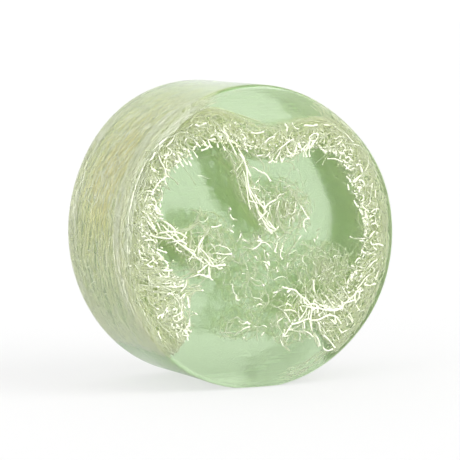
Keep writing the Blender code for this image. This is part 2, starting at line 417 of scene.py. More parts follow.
def mat_batch(rng, out, count, y_range, sunk, length, radii, tilt,
              angles=(WALL_START, WALL_END), ragged=1.0, pale=0.0, points=6, sides=4,
              dry=0.0):
    """Fibres round the outside, sunk under the rim; tilt is a mean and a spread."""
    angle = rng.uniform(*angles, count)
    # sparse over the dipped top and in the right margin
    angle = angle[(bump(angle, 80.0, 1.0, 13.0) < rng.uniform(0.05, 0.8, count))
                  & (bump(angle, MARGIN, 0.9, 36.0) < rng.uniform(0.0, 1.0, count))]
    count = len(angle)
    y = rng.uniform(*y_range, count)
    y = np.where((y < -8.0) & (bump(angle, MARGIN, 1.0, 40.0) > 0.4), y + 11.0, y)
    span = rng.uniform(*length, count)
    t = spaced(points)[None] - 0.5
    slope = rng.normal(*tilt, count)
    wave = rng.normal(0, 0.035, count)[:, None] * span[:, None]
    along = (y[:, None] + span[:, None] * t * slope[:, None]
             + wave * np.sin(np.pi * (t + 0.5)))
    turned = hold_ends(angle[:, None] + np.degrees(span[:, None] * t / 37.0), y[:, None])
    under = rng.uniform(*sunk, count)[:, None] + rng.normal(
        0, 0.05, (count, 1)) * np.cos(2 * np.pi * t)
    widths = thickness(rng, count, points, radii, 0.1)
    under = under + bump(turned, MARGIN, 2.2, 40.0)
    radius = np.minimum(bar_radius(turned) - under - widths, outer_at(turned, along)
                        + 0.9 - ragged * rng.uniform(0, 2.0, (count, 1)))
    tan_patch = (np.exp(-0.5 * ((angle - 152) / 16.0) ** 2)
                 * np.exp(-0.5 * ((y + 1.0) / 7.0) ** 2))
    ends = bump(angle, -10.0, 1.0, 50.0) + bump(angle, 212.0, 0.8, 24.0)
    edge = np.clip((np.abs(y) - 9.0) / 5.0, 0, 1)
    tint = np.clip(rng.uniform(0.25, 1.0, count) - (1.3 - pale) * tan_patch
                   * rng.uniform(0.3, 1, count) + 0.5 * ends + 0.4 * edge + pale, 0, 1)
    paths = round_bar(radius, turned, np.clip(along, 0.8 - HALF_Y, HALF_Y - 0.8))
    out.add(paths, widths, tint, sides, dry, skin=0.0)


def outer_mat(rng):
    """Fine fibres that run round the outside, just under the rim.  On the left
    they lie in the surface itself and are tan."""
    out = Strands()
    batch = partial(mat_batch, rng, out)
    # crisp ones in the surface, on the upper left
    batch(520, (-HALF_Y + 7.5, HALF_Y - 8.5), sunk=(-0.15, -0.02), length=(1.2, 3.4),
          radii=(0.07, 0.11), tilt=(0.20, 0.10), angles=(120, 166), ragged=0.0,
          pale=0.95, points=8, sides=5, dry=0.5)
    batch(420, (-HALF_Y + 5.5, HALF_Y - 6.5), sunk=(0.05, 0.35), length=(1.6, 4.2),
          radii=(0.08, 0.13), tilt=(0.20, 0.12), angles=(114, 190), ragged=0.0,
          points=8, sides=5)
    # softer ones below it
    batch(2700, (-HALF_Y + 0.6, HALF_Y - 0.8), sunk=(0.5, 1.3), length=(3, 8),
          radii=(0.07, 0.13), tilt=(0.12, 0.12))
    batch(1500, (-HALF_Y, HALF_Y), sunk=(1.1, 2.6), length=(5, 12),
          radii=(0.12, 0.20), tilt=(0.1, 0.16), pale=0.1)
    # a paler haze behind the front edge, on the left
    batch(700, (-HALF_Y + 1.0, -HALF_Y + 6.0), sunk=(0.25, 0.8), length=(1.5, 5.0),
          radii=(0.05, 0.09), tilt=(0.06, 0.10), angles=(112, 226), ragged=0.0,
          pale=0.6)
    return out


def sponge(rng):
    """Felted fibres of the middle layer."""
    out = Strands()
    count = 3300

    def felt(share):
        outward = np.abs(rng.normal(0, 1, count)) * (1.1 - 0.6 * share)
        around = rng.normal(0, 1, count) * (0.55 + 0.6 * share)
        return np.stack([around, outward, rng.normal(0, 0.8, count)], 1)
    paths = wall_curves(rng, count, (WALL_START, WALL_END), across=(0.08, 0.92),
                        y_range=(-HALF_Y + 2.6, HALF_Y - 2.6), direction=felt,
                        length=(3, 8), wander=0.16)
    out.add(paths, thickness(rng, count, 8, (0.12, 0.23), 0.4),
            rng.uniform(0, 1, count), 4)
    return out


# angle, and how far the strands lean there round the wall for each mm across
WALL_LEANS = (
    (-57, 0), (-45, -0.2), (-30, -1.3), (-10, -1.0), (10, -0.3), (30, 0.2), (50, 0.1),
    (66, -0.35), (80, -0.8), (88, 0.6), (98, 0.9), (106, 0), (116, -0.4), (128, 0.3),
    (140, 0.9), (170, 0.7), (195, 0.8), (215, 0.25), (232, 0.2))


def wall_lean(angle):
    return np.interp(angle, *np.transpose(WALL_LEANS))


def face_sponge(rng, side):
    """Strands that the knife cut along or across, at one cut face."""
    out = Strands()
    grow = partial(wall_strands, rng, out, side)
    stubs = partial(cut_stubs, rng, out, side)
    loops = partial(cut_loops, rng, out, side)
    whole = (WALL_START, WALL_END)
    few = 0.45 if side == FRONT else 1.0       # the front has its drawn ones too

    # the bulk: under the face, wet
    grow(420, whole, root=(0.45, 0.98), tip=(0.02, 0.6), slant=wall_lean,
         radii=(0.13, 0.21), deep=(1.6, 3.6), lift=1.3, jitter=0.8)
    grow(300, whole, root=(0.35, 0.98), tip=(0.05, 0.6), slant=wall_lean,
         radii=(0.13, 0.21), deep=(0.9, 2.4), lift=0.7)
    # at the face, cut white at their tips
    grow(int(200 * few), whole, root=(0.35, 0.95), tip=(0.0, 0.4), slant=wall_lean,
         radii=(0.14, 0.21), deep=(0.5, 1.8), lift=0.1, fork=0.7)
    # long ones over the top right and down the left
    grow(int(46 * few), (22, 80), root=(0.7, 0.95), tip=(0.0, 0.2), slant=wall_lean,
         radii=(0.15, 0.20), deep=(0.3, 1.0), lift=0.0, curl=0.22, fork=0.25,
         bulb=(0.4, 1.1), jitter=0.22, points=14)
    grow(int(44 * few), (120, 200), root=(0.6, 0.95), tip=(0.0, 0.3), slant=wall_lean,
         radii=(0.14, 0.21), deep=(0.3, 1.2), lift=0.0, curl=0.3, fork=0.7,
         bulb=(0.2, 0.9), jitter=0.5, points=14)

    # round the wall, near its outer outline
    def around(angle):
        return np.sign(np.sin(np.radians(angle * 37.0))) * 1.8
    grow(230, (WALL_START + 2, 56), root=(0.66, 0.99), tip=(0.5, 0.9), slant=around,
         radii=(0.07, 0.12), deep=(0.3, 1.2), lift=0.2, curl=0.15, fork=0.4,
         bulb=(0, 0.3), jitter=1.4)
    grow(240, (118, WALL_END - 2), root=(0.62, 0.98), tip=(0.46, 0.78), slant=around,
         radii=(0.06, 0.11), deep=(0.6, 2.0), lift=0.5, curl=0.2, fork=0.3,
         bulb=(0, 0.2), jitter=0.8)
    # fine pale fibres between them, a haze just under the face
    grow(520, whole, root=(0.3, 1.0), tip=(0.0, 0.8), slant=wall_lean,
         radii=(0.05, 0.09), deep=(0.4, 1.6), lift=0.5, curl=0.4, fork=0.4,
         bulb=(0, 0.2), jitter=1.6, sides=4, points=8)
    # strands along the bar, cut across: dashes and dots
    stubs(int(110 * few), (-50, 70), across=(0.05, 0.55), length=(0.8, 2.4),
          radii=(0.12, 0.19))
    stubs(int(110 * few), (70, WALL_END), across=(0.0, 0.75), length=(0.8, 2.6),
          radii=(0.12, 0.19))
    # crisp ones low on the left, where the wall frays into the net
    grow(46, (190, WALL_END - 2), root=(0.6, 0.95), tip=(0.05, 0.5),
         slant=lambda angle: 0.7, radii=(0.09, 0.13), deep=(0.3, 1.3), lift=0.0,
         curl=0.3, fork=0.5, bulb=(0, 0.6), jitter=0.35)
    grow(36, (150, 192), root=(0.3, 0.95), tip=(0.0, 0.5), slant=wall_lean,
         radii=(0.08, 0.13), deep=(0.3, 1.3), lift=0.0, curl=0.4, fork=0.6,
         bulb=(0, 0.6), jitter=0.8)
    loops(int(60 * few), (-45, 60), across=(0.1, 0.7), size=(0.45, 1.0),
          radii=(0.14, 0.20))
    loops(int(34 * few), (60, 225), across=(0.15, 0.8), size=(0.5, 1.1),
          radii=(0.13, 0.19))
    return out


# angle, and the share of the edge fibres kept there
EDGE_SHARES = ((-52, 0.8), (20, 0.8), (60, 0.4), (64, 0.0), (108, 0.0), (114, 0.9),
               (200, 0.9), (230, 0.6))


def edge_fibres(rng, side):
    """The outer mat's fibres where the knife opened them at the bar's edge: a
    fine pale haze, thickest on the left."""
    out = Strands()
    points = 7
    t = spaced(points)[None] - 0.5

    def arcs(middles, length, arc_radius=36.0):
        """The lengths of fibres round the bar, and the angles of their points."""
        span = rng.uniform(*length, len(middles))[:, None]
        return span, middles[:, None] + np.degrees(span * t / arc_radius)

    def column(low, high):
        return rng.uniform(low, high, count)[:, None]

    def slope(spread):
        return rng.normal(0, spread, (count, 1)) * t

    def lay(radius, turned, depth, widths, palest, **options):
        out.add(round_bar(radius, turned, under_face(side, np.abs(depth))), widths,
                rng.uniform(palest, 1, count), **options)

    middles = rng.uniform(WALL_START + 3, WALL_END - 1, 2600)
    middles = middles[rng.uniform(0, 1, len(middles))
                      < np.interp(middles, *np.transpose(EDGE_SHARES))]
    count = len(middles)
    _, turned = arcs(middles, (0.8, 3.4))
    turned = hold_ends(turned, side * HALF_Y)
    radius = (bar_radius(turned) - column(0.2, 2.4) + slope(0.35)
              - bump(turned, MARGIN, 1.0, 40.0))
    depth = column(0.1, 1.7) + slope(0.6)
    lay(radius, turned, depth, thickness(rng, count, points, (0.05, 0.10), 0.1), 0.5,
        sides=5, skin=0.12)
    # milky streaks in two places on the left edge
    count = 900
    middles = np.where(rng.uniform(0, 1, count) < 0.55, rng.normal(131, 8, count),
                       rng.normal(168, 10, count))
    _, turned = arcs(middles, (0.8, 3.0))
    radius = np.minimum(bar_radius(turned) - column(1.0, 2.7) + slope(0.3),
                        bar_radius(turned) - 0.9)
    lay(radius, turned, column(0.02, 0.5),
        thickness(rng, count, points, (0.05, 0.09), 0.1), 0.7,
        sides=4, dry=0.6, skin=0.12)
    # a few that strayed past the wall's end, at the lower right
    count = 90
    _, turned = arcs(rng.uniform(-78, -46, count), (1.0, 4.5))
    radius = bar_radius(turned) - column(0.9, 3.6) + slope(0.4)
    lay(radius, turned, column(0.4, 1.5),
        thickness(rng, count, points, (0.04, 0.08), 0.1), 0.7, sides=4, skin=0.12)
    # and beside the edge, in the rim's surface on the left
    middles = rng.uniform(124, 208, 560)
    middles = middles[np.sin(np.radians(middles * 11.0))
                      > rng.uniform(-1.6, 0.6, len(middles))]
    count = len(middles)
    span, turned = arcs(middles, (1.0, 4.0), arc_radius=37.0)
    depth = column(2.2, 6.0) + span * t * rng.normal(0.08, 0.09, count)[:, None]
    widths = thickness(rng, count, points, (0.05, 0.09), 0.1)
    radius = bar_radius(turned) - column(0.0, 0.30) - widths
    lay(radius, turned, depth, widths, 0.7, sides=4, dry=0.35, skin=0.0)
    return out


def lining(rng, start, end):
    """Fibres along the chamber, and the comb of their cut ends."""
    out = Strands()
    arc = math.radians(end - start) * 28
    count = int(arc * 8)

    def lengthwise(share):
        return np.stack([rng.normal(0, 0.12, count), rng.normal(0, 0.03, count),
                         np.ones(count)], 1)
    paths = wall_curves(rng, count, (start, end), across=(0.0, 0.12),
                        y_range=(-HALF_Y, HALF_Y), direction=lengthwise,
                        length=(8, 20), wander=0.03)
    out.add(paths, thickness(rng, count, 8, (0.11, 0.2), 0.2),
            rng.uniform(0, 1, count), 4)
    for side, share in ((FRONT, 0.45), (BACK, 0.95)):
        def lean(angle):
            return side * (0.35 * np.sin(np.radians(angle * 2.4 + 30)) + 0.15)
        # clubs of the comb: close together, tips in the chamber
        wall_strands(rng, out, side, int(arc * share), (start, end), root=(0.14, 0.42),
                     tip=(-0.06, 0.03), slant=lean, radii=(0.13, 0.20), deep=(0.3, 1.2),
                     lift=0.05, curl=0.2, fork=0.0, bulb=(0.3, 0.9), jitter=0.3)
        cut_stubs(rng, out, side, int(arc * share * 0.6), (start, end),
                  across=(-0.04, 0.1), length=(1.2, 3.4), radii=(0.12, 0.19), lean=0.2)
    return out


def net_graph(points, longest, reach):
    """Relative neighbours: two points are joined when no third point is nearer
    to both of them than they are to each other."""
    gaps = np.linalg.norm(points[:, None] - points[None], axis=2)
    pairs = []
    for i, j in zip(*np.nonzero(np.triu(gaps < longest, 1))):
        blocked = np.maximum(gaps[i], gaps[j]) < gaps[i, j] * reach
        blocked[i] = blocked[j] = False
        if not blocked.any():
            pairs.append((i, j))
    return np.array(pairs)


def net_strands(rng, out, knots, radii, tint, sides=5, points=8, reach=0.94,
                longest=5.0, skip=0.1):
    """Struts between neighbouring knots, thick where they meet."""
    pairs = net_graph(knots, longest, reach)
    pairs = pairs[rng.uniform(0, 1, len(pairs)) > skip]
    start, end = knots[pairs[:, 0]], knots[pairs[:, 1]]
    count = len(pairs)
    span = np.linalg.norm(end - start, axis=1)
    bend = rng.normal(0, 0.2, (2, count, 3)) * span[:, None]
    bend[1] = 0.5 * bend[0] + 0.7 * bend[1]
    widths = thickness(rng, count, points, radii, 0.8)
    widths[:, [0, -1]] *= 2.0
    out.add(bowed(start, end, bend, points), widths, rng.uniform(*tint, count), sides)


def scatter(count, gap, draw):
    """Points drawn one by one, each at least gap from the others."""
    found = np.empty((0, 3))
    tries = 0
    while len(found) < count and tries < count * 30:
        tries += 1
        place = draw()
        if len(found) == 0 or (((found - place) ** 2).sum(1) > gap * gap).all():
            found = np.vstack([found, place])
    return found


def oval_place(rng, oval, draw_y):
    """A random place in an oval column: centre x and z, half width and height."""
    centre_x, centre_z, half_width, half_height = oval
    turn = rng.uniform(0, 2 * math.pi)
    radius = rng.uniform(0, 1) ** 0.5
    return np.array([centre_x + half_width * radius * math.cos(turn), draw_y(),
                     centre_z + half_height * radius * math.sin(turn)])


def pad_points(rng, oval, count, gap, near):
    """Knots of a net in an oval column; a share of them near the front."""
    def draw_y():
        return rng.uniform(-16.8, -10 if rng.uniform() < near else 16.8)
    return scatter(count, gap, lambda: oval_place(rng, oval, draw_y))


def face_net(rng, out, oval, count, dashes):
    """The part of a net that the knife opened: a wide mesh of curved struts at
    the front face, and the cut ends of others as short dashes."""
    def draw():
        return oval_place(rng, oval, lambda: -HALF_Y + rng.uniform(0.05, 1.1))
    net_strands(rng, out, scatter(count, 1.7, draw), (0.07, 0.11), tint=(0.6, 1.0),
                sides=6, points=14, reach=0.97, longest=5.5, skip=0.3)
    centre = np.array([draw() for _ in range(dashes)])
    turn = rng.uniform(0, 2 * np.pi, dashes)
    way = np.stack([np.cos(turn), np.zeros(dashes), np.sin(turn)], 1)
    span = rng.uniform(0.6, 2.2, dashes)[:, None]
    start, end = centre - way * span / 2, centre + way * span / 2
    start[:, 1] = -HALF_Y + rng.uniform(0.0, 0.15, dashes)
    end[:, 1] = -HALF_Y + rng.uniform(0.1, 1.2, dashes)
    bend = rng.normal(0, 0.2, (dashes, 3)) * span * [[1, 0.2, 1]]
    third = (end - start) * 0.33
    paths = bezier(start, end, start + third + bend, end - third + bend, 10)
    out.add(paths, thickness(rng, dashes, 10, (0.09, 0.14), 0.3),
            rng.uniform(0.6, 1, dashes), 6)


def haze(rng, out, oval, count, way, y_range):
    """Fine fibres floating behind the face in a soft-edged oval, mostly
    pointing one way: a pale cloud with faint streaks."""
    centre_x, centre_z, half_width, half_height = oval
    turn = rng.uniform(0, 2 * np.pi, count)
    radius = np.abs(rng.normal(0, 0.52, count))
    radius = np.where(radius > 1.15, rng.uniform(0.1, 0.9, count), radius)
    centre = np.stack([centre_x + half_width * radius * np.cos(turn),
                       rng.uniform(*y_range, count),
                       centre_z + half_height * radius * np.sin(turn)], 1)
    turn = np.radians(way + rng.normal(0, 24, count))
    way = np.stack([np.cos(turn), rng.normal(0, 0.35, count), np.sin(turn)], 1)
    span = rng.uniform(1.2, 5.0, count)[:, None]
    bend = rng.normal(0, 0.12, (2, count, 3)) * span
    paths = bowed(centre - way * span / 2, centre + way * span / 2, bend, 8)
    out.add(paths, thickness(rng, count, 8, (0.05, 0.09), 0.3),
            rng.uniform(0.6, 1, count), 4, skin=0.3)


def catmull(stations):
    """A smooth line through the stations, with eight steps between each two."""
    stations = np.asarray(stations, float)
    stations = np.vstack([2 * stations[0] - stations[1], stations,
                          2 * stations[-1] - stations[-2]])
    line = []
    for k in range(1, len(stations) - 2):
        before, here, there, after = stations[k - 1:k + 3]
        for step in range(8):
            t = step / 8
            line.append(0.5 * (2 * here + (there - before) * t
                               + (2 * before - 5 * here + 4 * there - after) * t ** 2
                               + (3 * here - before - 3 * there + after) * t ** 3))
    line.append(stations[-2])
    return np.array(line)


def drawn(rng, out, table, side=FRONT, spread=0.0, copies=1):
    """Strands placed one by one at a face, from a table read by strand_table().
    Copies after the first stray from it by the spread."""
    points = 20
    slimming = 0.72
    t = spaced(points)
    paths, widths, tints = [], [], []
    for (radius, start_depth, end_depth, start_bulb, end_bulb), stations in table:
        for copy in range(copies):
            line = catmull(stations)
            run = np.concatenate([[0], np.cumsum(np.linalg.norm(
                np.diff(line, axis=0), axis=1))])
            length = run[-1]
            x = np.interp(t * length, run, line[:, 0])
            z = np.interp(t * length, run, line[:, 1])
            stray = copy > 0
            phase = rng.uniform(0, 6.28, 4)
            sway = 0.07 + spread * stray
            turns = 1.3 * length
            x = x + sway * np.sin(phase[0] + turns * t) + stray * rng.normal(0, spread)
            z = (z + sway * np.sin(phase[1] + 1.2 * turns * t)
                 + stray * rng.normal(0, spread))
            depth = (start_depth + (end_depth - start_depth) * t
                     + 0.18 * np.sin(phase[2] + 4 * t)
                     + stray * rng.uniform(0, spread * 2))
            width = radius * slimming * (1 + 0.12 * np.sin(phase[3] + 9 * t))
            width = width * (1 + start_bulb * np.exp(-(t * length / 0.6) ** 2)
                             + end_bulb * np.exp(-((1 - t) * length / 0.6) ** 2))
            width = width * rng.uniform(0.95, 1.05, points)
            width[[0, -1]] *= 0.45
            paths.append(np.stack([x, under_face(side, np.maximum(depth, 0.0)), z], 1))
            widths.append(width)
            tints.append(rng.uniform(0.5, 1.0))
    out.add(np.array(paths), np.array(widths), np.array(tints), 8)


def web(rng, centre_line, root, tip, ribs, struts):
    """A septum, root wide at its start and tip wide at its end: ribs along its
    centre line at every depth, and struts across."""
    out = Strands()
    line = catmull(centre_line)
    along = np.gradient(line, axis=0)
    along /= np.linalg.norm(along, axis=1, keepdims=True)
    normal = np.stack([-along[:, 1], along[:, 0]], 1)
    last = len(line) - 1
    half = (root + (tip - root) * np.linspace(0, 1, last + 1)) / 2
    points = 10
    t = spaced(points)[None]

    def at(share, off, y):
        station = np.clip(share, 0, 1) * last
        low = np.floor(station).astype(int)
        high = np.minimum(low + 1, last)
        part = station - low

        def between(values):
            blend = part.reshape(part.shape + (1,) * (values.ndim - 1))
            return values[low] * (1 - blend) + values[high] * blend
        place = between(line) + between(normal) * (off * between(half))[..., None]
        return np.stack([place[..., 0], y, place[..., 1]], -1)

    def depths(count):
        """Mostly anywhere in the bar, a fifth of them just behind the front."""
        close = rng.uniform(0, 1, count) < 0.2
        return np.where(close, -HALF_Y + 0.4 + np.abs(rng.normal(0, 1.2, count)),
                        rng.uniform(-HALF_Y, HALF_Y, count))

    def column(low, high, count):
        return rng.uniform(low, high, count)[:, None]

    start = column(-0.05, 0.7, ribs)
    share = start + column(0.2, 0.6, ribs) * t
    start, end = column(-1, 1, ribs), column(-1, 1, ribs)
    off = start + (end - start) * t
    off = off + 0.35 * np.sin(t * column(2, 5, ribs) + column(0, 6, ribs))
    y = depths(ribs)[:, None] + rng.normal(0, 2.5, ribs)[:, None] * t
    out.add(at(share, off, y), thickness(rng, ribs, points, (0.13, 0.24), 0.3),
            rng.uniform(0.3, 1, ribs), 5)

    share = column(0, 1, struts) + rng.normal(0, 0.1, struts)[:, None] * t
    off = (rng.choice([-1, 1], struts)[:, None] * (1 - 2.0 * t)
           * column(0.7, 1.5, struts))
    y = depths(struts)[:, None] + rng.normal(0, 1.5, struts)[:, None] * t
    out.add(at(share, off, y), thickness(rng, struts, points, (0.10, 0.18), 0.4),
            rng.uniform(0.3, 1, struts), 5)
    return out


# ------------------------------------------- strands that show at the front cut
def strand_table(text):
    """Each row is a strand: its radius, its depth under the face at its start
    and at its end, its bulb at its start and at its end, then x,z stations."""
    rows = [line.split() for line in text.strip().splitlines()]
    return [([float(value) for value in row[:5]],
             [[float(value) for value in pair.split(",")] for pair in row[5:]])
            for row in rows]


UPPER_SEPTUM = strand_table("""
.36 .5 .1 0 .4 -4.9,15.8 -3.4,13 -2,10.5 -1,8.6 -.3,7.3
.30 .6 .1 0 .3 -4,15.2 -2.6,12.6 -1.2,10 -.4,8.4
.30 .5 0 0 .4 -3.2,14.4 -1.8,12.2 -.6,10 .6,8.2 1.7,7.3
.28 .5 0 0 .5 -6.4,21.2 -5.2,19.4 -3.6,18.2 -1.2,17.4 .2,16.6 1.5,16 2.6,15 3.5,13.9
.25 .5 .2 0 .2 -2,21.4 -.3,20 1.2,18.7 1.6,17.4 1.2,16.2 .2,14.7 .1,13 .4,11.6
.22 .4 0 0 .6 .2,13.2 1.4,12.2 2.3,11.2 3.6,11.1
.24 .6 .1 0 .2 -1.2,11.6 .4,10.2 1.2,9 1.7,7.6
.33 0 .2 .4 .3 1.6,7.2 2.8,8.2 4.4,9 6.5,10.1
.22 .1 .4 0 .3 1.6,8.2 1.8,9.8 2.5,11.1
.25 .1 .2 0 .2 3.2,8 3.2,6.4 3.8,4.8 4.2,3 4.6,1.2 5.5,-.4
.22 .2 .8 0 0 -4.6,17.2 -3.4,15.6 -1.6,14 -.4,12.4
.24 .2 .9 .3 0 -7.4,22.6 -6.4,21.2 -5.6,19.6
.20 .2 .6 .3 0 -4.4,20.6 -4,19 -2.8,17.6
.22 .1 .3 .4 .2 -.6,20.4 1.2,20.6 3.2,20.6 3.8,18.9
""")
UPPER_NET = strand_table("""
.26 .3 .2 0 .3 5.8,9 5.3,6.4 5.6,4.4 6.4,2.4 7.6,1 9.3,.3
.22 .4 .2 0 .2 6.2,4.6 8.4,5.2 9.8,5.6 10.4,6.6
.24 .3 .1 0 .2 10.7,8.6 10.3,6.6 10.5,5 10.1,3.2
.25 .5 0 0 .7 10,10.8 10.9,9 12,7.2 13.2,5.6 14.5,3.8
.25 0 .1 0 .5 14.2,4 13,3.6 12.9,1.9
.20 .2 .4 .2 0 8.6,11.6 10.5,11.1 12.9,10.9
.18 .5 1 0 0 6.6,9.8 8.4,8.4 8.8,6.4 8,4.6 8.4,2.6
.18 .7 1.2 0 0 12.6,10.2 12,8.6 12.6,6.8 11.8,5.2
.19 .3 .5 0 .2 2.9,3.8 2.2,2.4 2,.7
.19 .4 .9 0 0 13,2.2 11.2,1.9 9.6,1.2 8.2,.6
.18 .8 1.4 0 0 4,12.8 5.6,11.6 6.8,10.4
.17 .9 1.6 0 0 13.8,8.8 14.6,7 14,5.2
""")
LEFT_NET = strand_table("""
.46 .5 .2 0 0 -14.5,2 -15.6,.4 -16.5,-1.1 -16.9,-2.6 -16.9,-3.8
.28 .3 0 0 0 -16.6,-2.1 -15.7,-3.6 -14.5,-5 -13.6,-5.9
.22 .5 .3 0 0 -15.9,4.3 -14.9,2.8 -13.7,1.3
.25 .5 0 0 0 -17.2,-1.8 -16,-3.8 -14.2,-5.8
.36 0 0 0 .9 -14.2,-5.9 -12.6,-6.7 -10.8,-6.6 -9.3,-6.4
.26 0 .1 0 .3 -12.2,-6.6 -11.2,-7.4 -10.2,-7.2
.27 0 .1 0 .3 -14,-6 -13.9,-7.6 -13.8,-9.4
.32 0 .1 0 .5 -14.1,-6.1 -15.6,-7.2 -17.2,-8.1
.20 .3 1.2 0 0 -14.6,3.2 -14,2 -12.6,.6 -10.6,-.4
.24 .1 .1 0 .8 -10.3,3.5 -12,3.2 -13.2,3.2
.23 .5 .2 0 .2 -11.8,2.8 -10.8,.6 -10.4,-1 -10.9,-2.6 -11.6,-4.5
.21 .2 .1 0 0 -14.4,-3.4 -12.8,-2.2 -11,-1.6 -9,-2.2 -8,-3.2
.22 .2 0 0 1 -14.2,-4.2 -12,-3.4 -9.6,-3.9 -7.5,-3.8
.20 .3 .2 0 0 -11.4,-6.2 -9.6,-4.8 -8,-3.9
.24 .2 .2 0 .4 -12.2,-5.8 -11.8,-4.8 -10.6,-4.9
.20 1 2.2 0 0 -18.4,2.6 -18.7,.4 -19,-1.8 -19.1,-3.8
.20 1.4 2.6 0 0 -19.4,2.2 -20,.4 -19.6,-1.6
.20 1.2 .6 0 0 -16.8,-3 -17.2,-5 -17,-7.8
.18 1.6 1 0 0 -18.2,-3.4 -18,-5.6 -17.4,-7.8
.17 .8 1.6 0 0 -13.8,-1.2 -14.6,-2.8 -14.2,-4.6
.20 .8 2.4 0 0 -15.8,5.8 -16.8,7 -18.2,7.6
.20 .8 2.4 0 0 -15.4,5.6 -15.2,7 -15.8,8.2
""")
LEFT_SEPTUM = strand_table("""
.28 .5 0 0 0 -30,2.3 -26.8,1.4 -24.6,1.8 -23,1.6
.34 0 .5 0 .2 -23.2,1.7 -21.8,.1 -20.2,-1.1 -19.8,-2
.26 .3 .8 0 0 -23,1.8 -21,2.2 -19,2.8 -17.4,3.6 -16.2,5.2
.60 1.4 2.4 0 0 -22.6,2.4 -20,2.7 -17.8,3.3 -16.6,5 -16.3,6
.40 .7 1 0 0 -18.7,2.4 -18.5,.6 -18.9,-1.6 -19.1,-3.4
.24 .5 .6 0 0 -20.9,1.6 -20.1,.5 -19.7,-.6
.22 1.2 2.2 0 0 -21.6,1.2 -20.8,-.4 -20.4,-2.6 -21,-4.6
.18 2.6 3.2 0 0 -24.8,-1.6 -22.6,-1 -20.8,-2.2 -20.4,-4.4
.18 2.8 3.4 0 0 -24.9,-1.8 -25.6,-3.6 -24.4,-5.8 -22,-6.2 -20.5,-4.8
""")
LEFT_BUSHES = strand_table("""
.28 .8 0 0 .8 -28.8,-18.8 -26.8,-16.6 -24,-15.2 -21.2,-14.6 -19.4,-13.4 -17,-12.6 -15.4,-12.5
.34 .1 0 0 .5 -19.8,-13.8 -19.5,-15.4 -19.5,-16.8
.24 .2 .1 0 .4 -20.8,-14.6 -20.8,-16 -20.4,-16.8
.27 .8 0 0 .6 -29.4,-15.6 -27,-14.2 -24.4,-13.4 -22.4,-11.6 -20.6,-9.7 -18.4,-9 \
-16.4,-8.6 -13.7,-9.4
.24 .4 0 0 .6 -21,-10.2 -19,-11.8 -16.4,-11.3
.22 .4 .1 0 .3 -17.4,-12.4 -20,-12.8 -22,-14.4
.25 .6 0 0 .4 -17.4,-8.2 -19.6,-9.4 -20.4,-11.2 -21.8,-12.6
.30 .5 0 0 .4 -30.8,-13.2 -30,-14.8 -28.8,-16 -27.8,-16.7
.22 .4 .4 0 0 -29.4,-7.6 -30.4,-10 -30.6,-12.6 -29.6,-14.4
.22 .3 .5 0 0 -27,-9.8 -27.8,-12.4 -27.5,-14.8
.22 .3 .6 0 0 -25.6,-10.4 -26.6,-12 -26.6,-14.2
.34 0 .1 .2 .2 -25.3,-16.2 -26.6,-18 -27.1,-18.9
.28 .1 .2 .2 .3 -24.5,-9.3 -23.8,-10.4 -22.9,-11.4
.26 .7 0 0 .5 -28.6,-21 -26.4,-19.6 -24.2,-18.9 -22.6,-18.2 -21.2,-17.7
.22 .3 0 0 .3 -23.4,-18.6 -22.8,-17.2 -22.9,-16.6
.22 .2 .1 0 .3 -23.6,-18.9 -23.2,-20.2 -22.6,-21
.30 0 .1 .6 .2 -21,-22.3 -20.2,-22.8 -19.4,-23.7
.26 0 .2 .2 .2 -20.2,-21.6 -19.8,-22.8
.24 0 .2 .2 .3 -22.9,-22.9 -22.2,-24.1
.22 0 .2 .2 .2 -18.6,-17.7 -17.2,-18.5
.15 .9 .4 0 .3 -27,-25 -28,-23.2 -28.4,-21.4 -29.4,-19
.14 .9 .5 0 .3 -27,-25.6 -28.8,-22.6 -30.2,-19.6
.14 1 .6 0 0 -27.4,-25.2 -29,-22.8 -30.8,-19.6 -31.6,-17.4
.24 .3 .1 0 .2 -28.2,-25.8 -27.6,-24.2 -28,-21.8
""")
RIGHT_NET = strand_table("""
.34 0 0 .5 .2 6.7,-13 8.6,-13.5 10.4,-14 12,-15.5 13.6,-16.6 15,-18 15.6,-19.2
.29 0 .1 0 .3 12.2,-15.7 12.1,-17.5
.30 0 .1 0 .3 12.8,-15.8 12.9,-16.8 13.3,-17.6
.36 .1 .1 .2 0 15.6,-11.6 15.8,-13.2 16.1,-14.6 16.8,-16.4
.24 .5 .2 0 0 13.4,-12.2 13.6,-14.2 13.4,-16.2
.27 .3 0 0 0 15.4,-15.2 16.8,-17.4 18.4,-18.6 20.4,-19.3 23,-19.5 24.6,-18.4 26.4,-17 \
28.2,-15.6 29.4,-14.4
""")
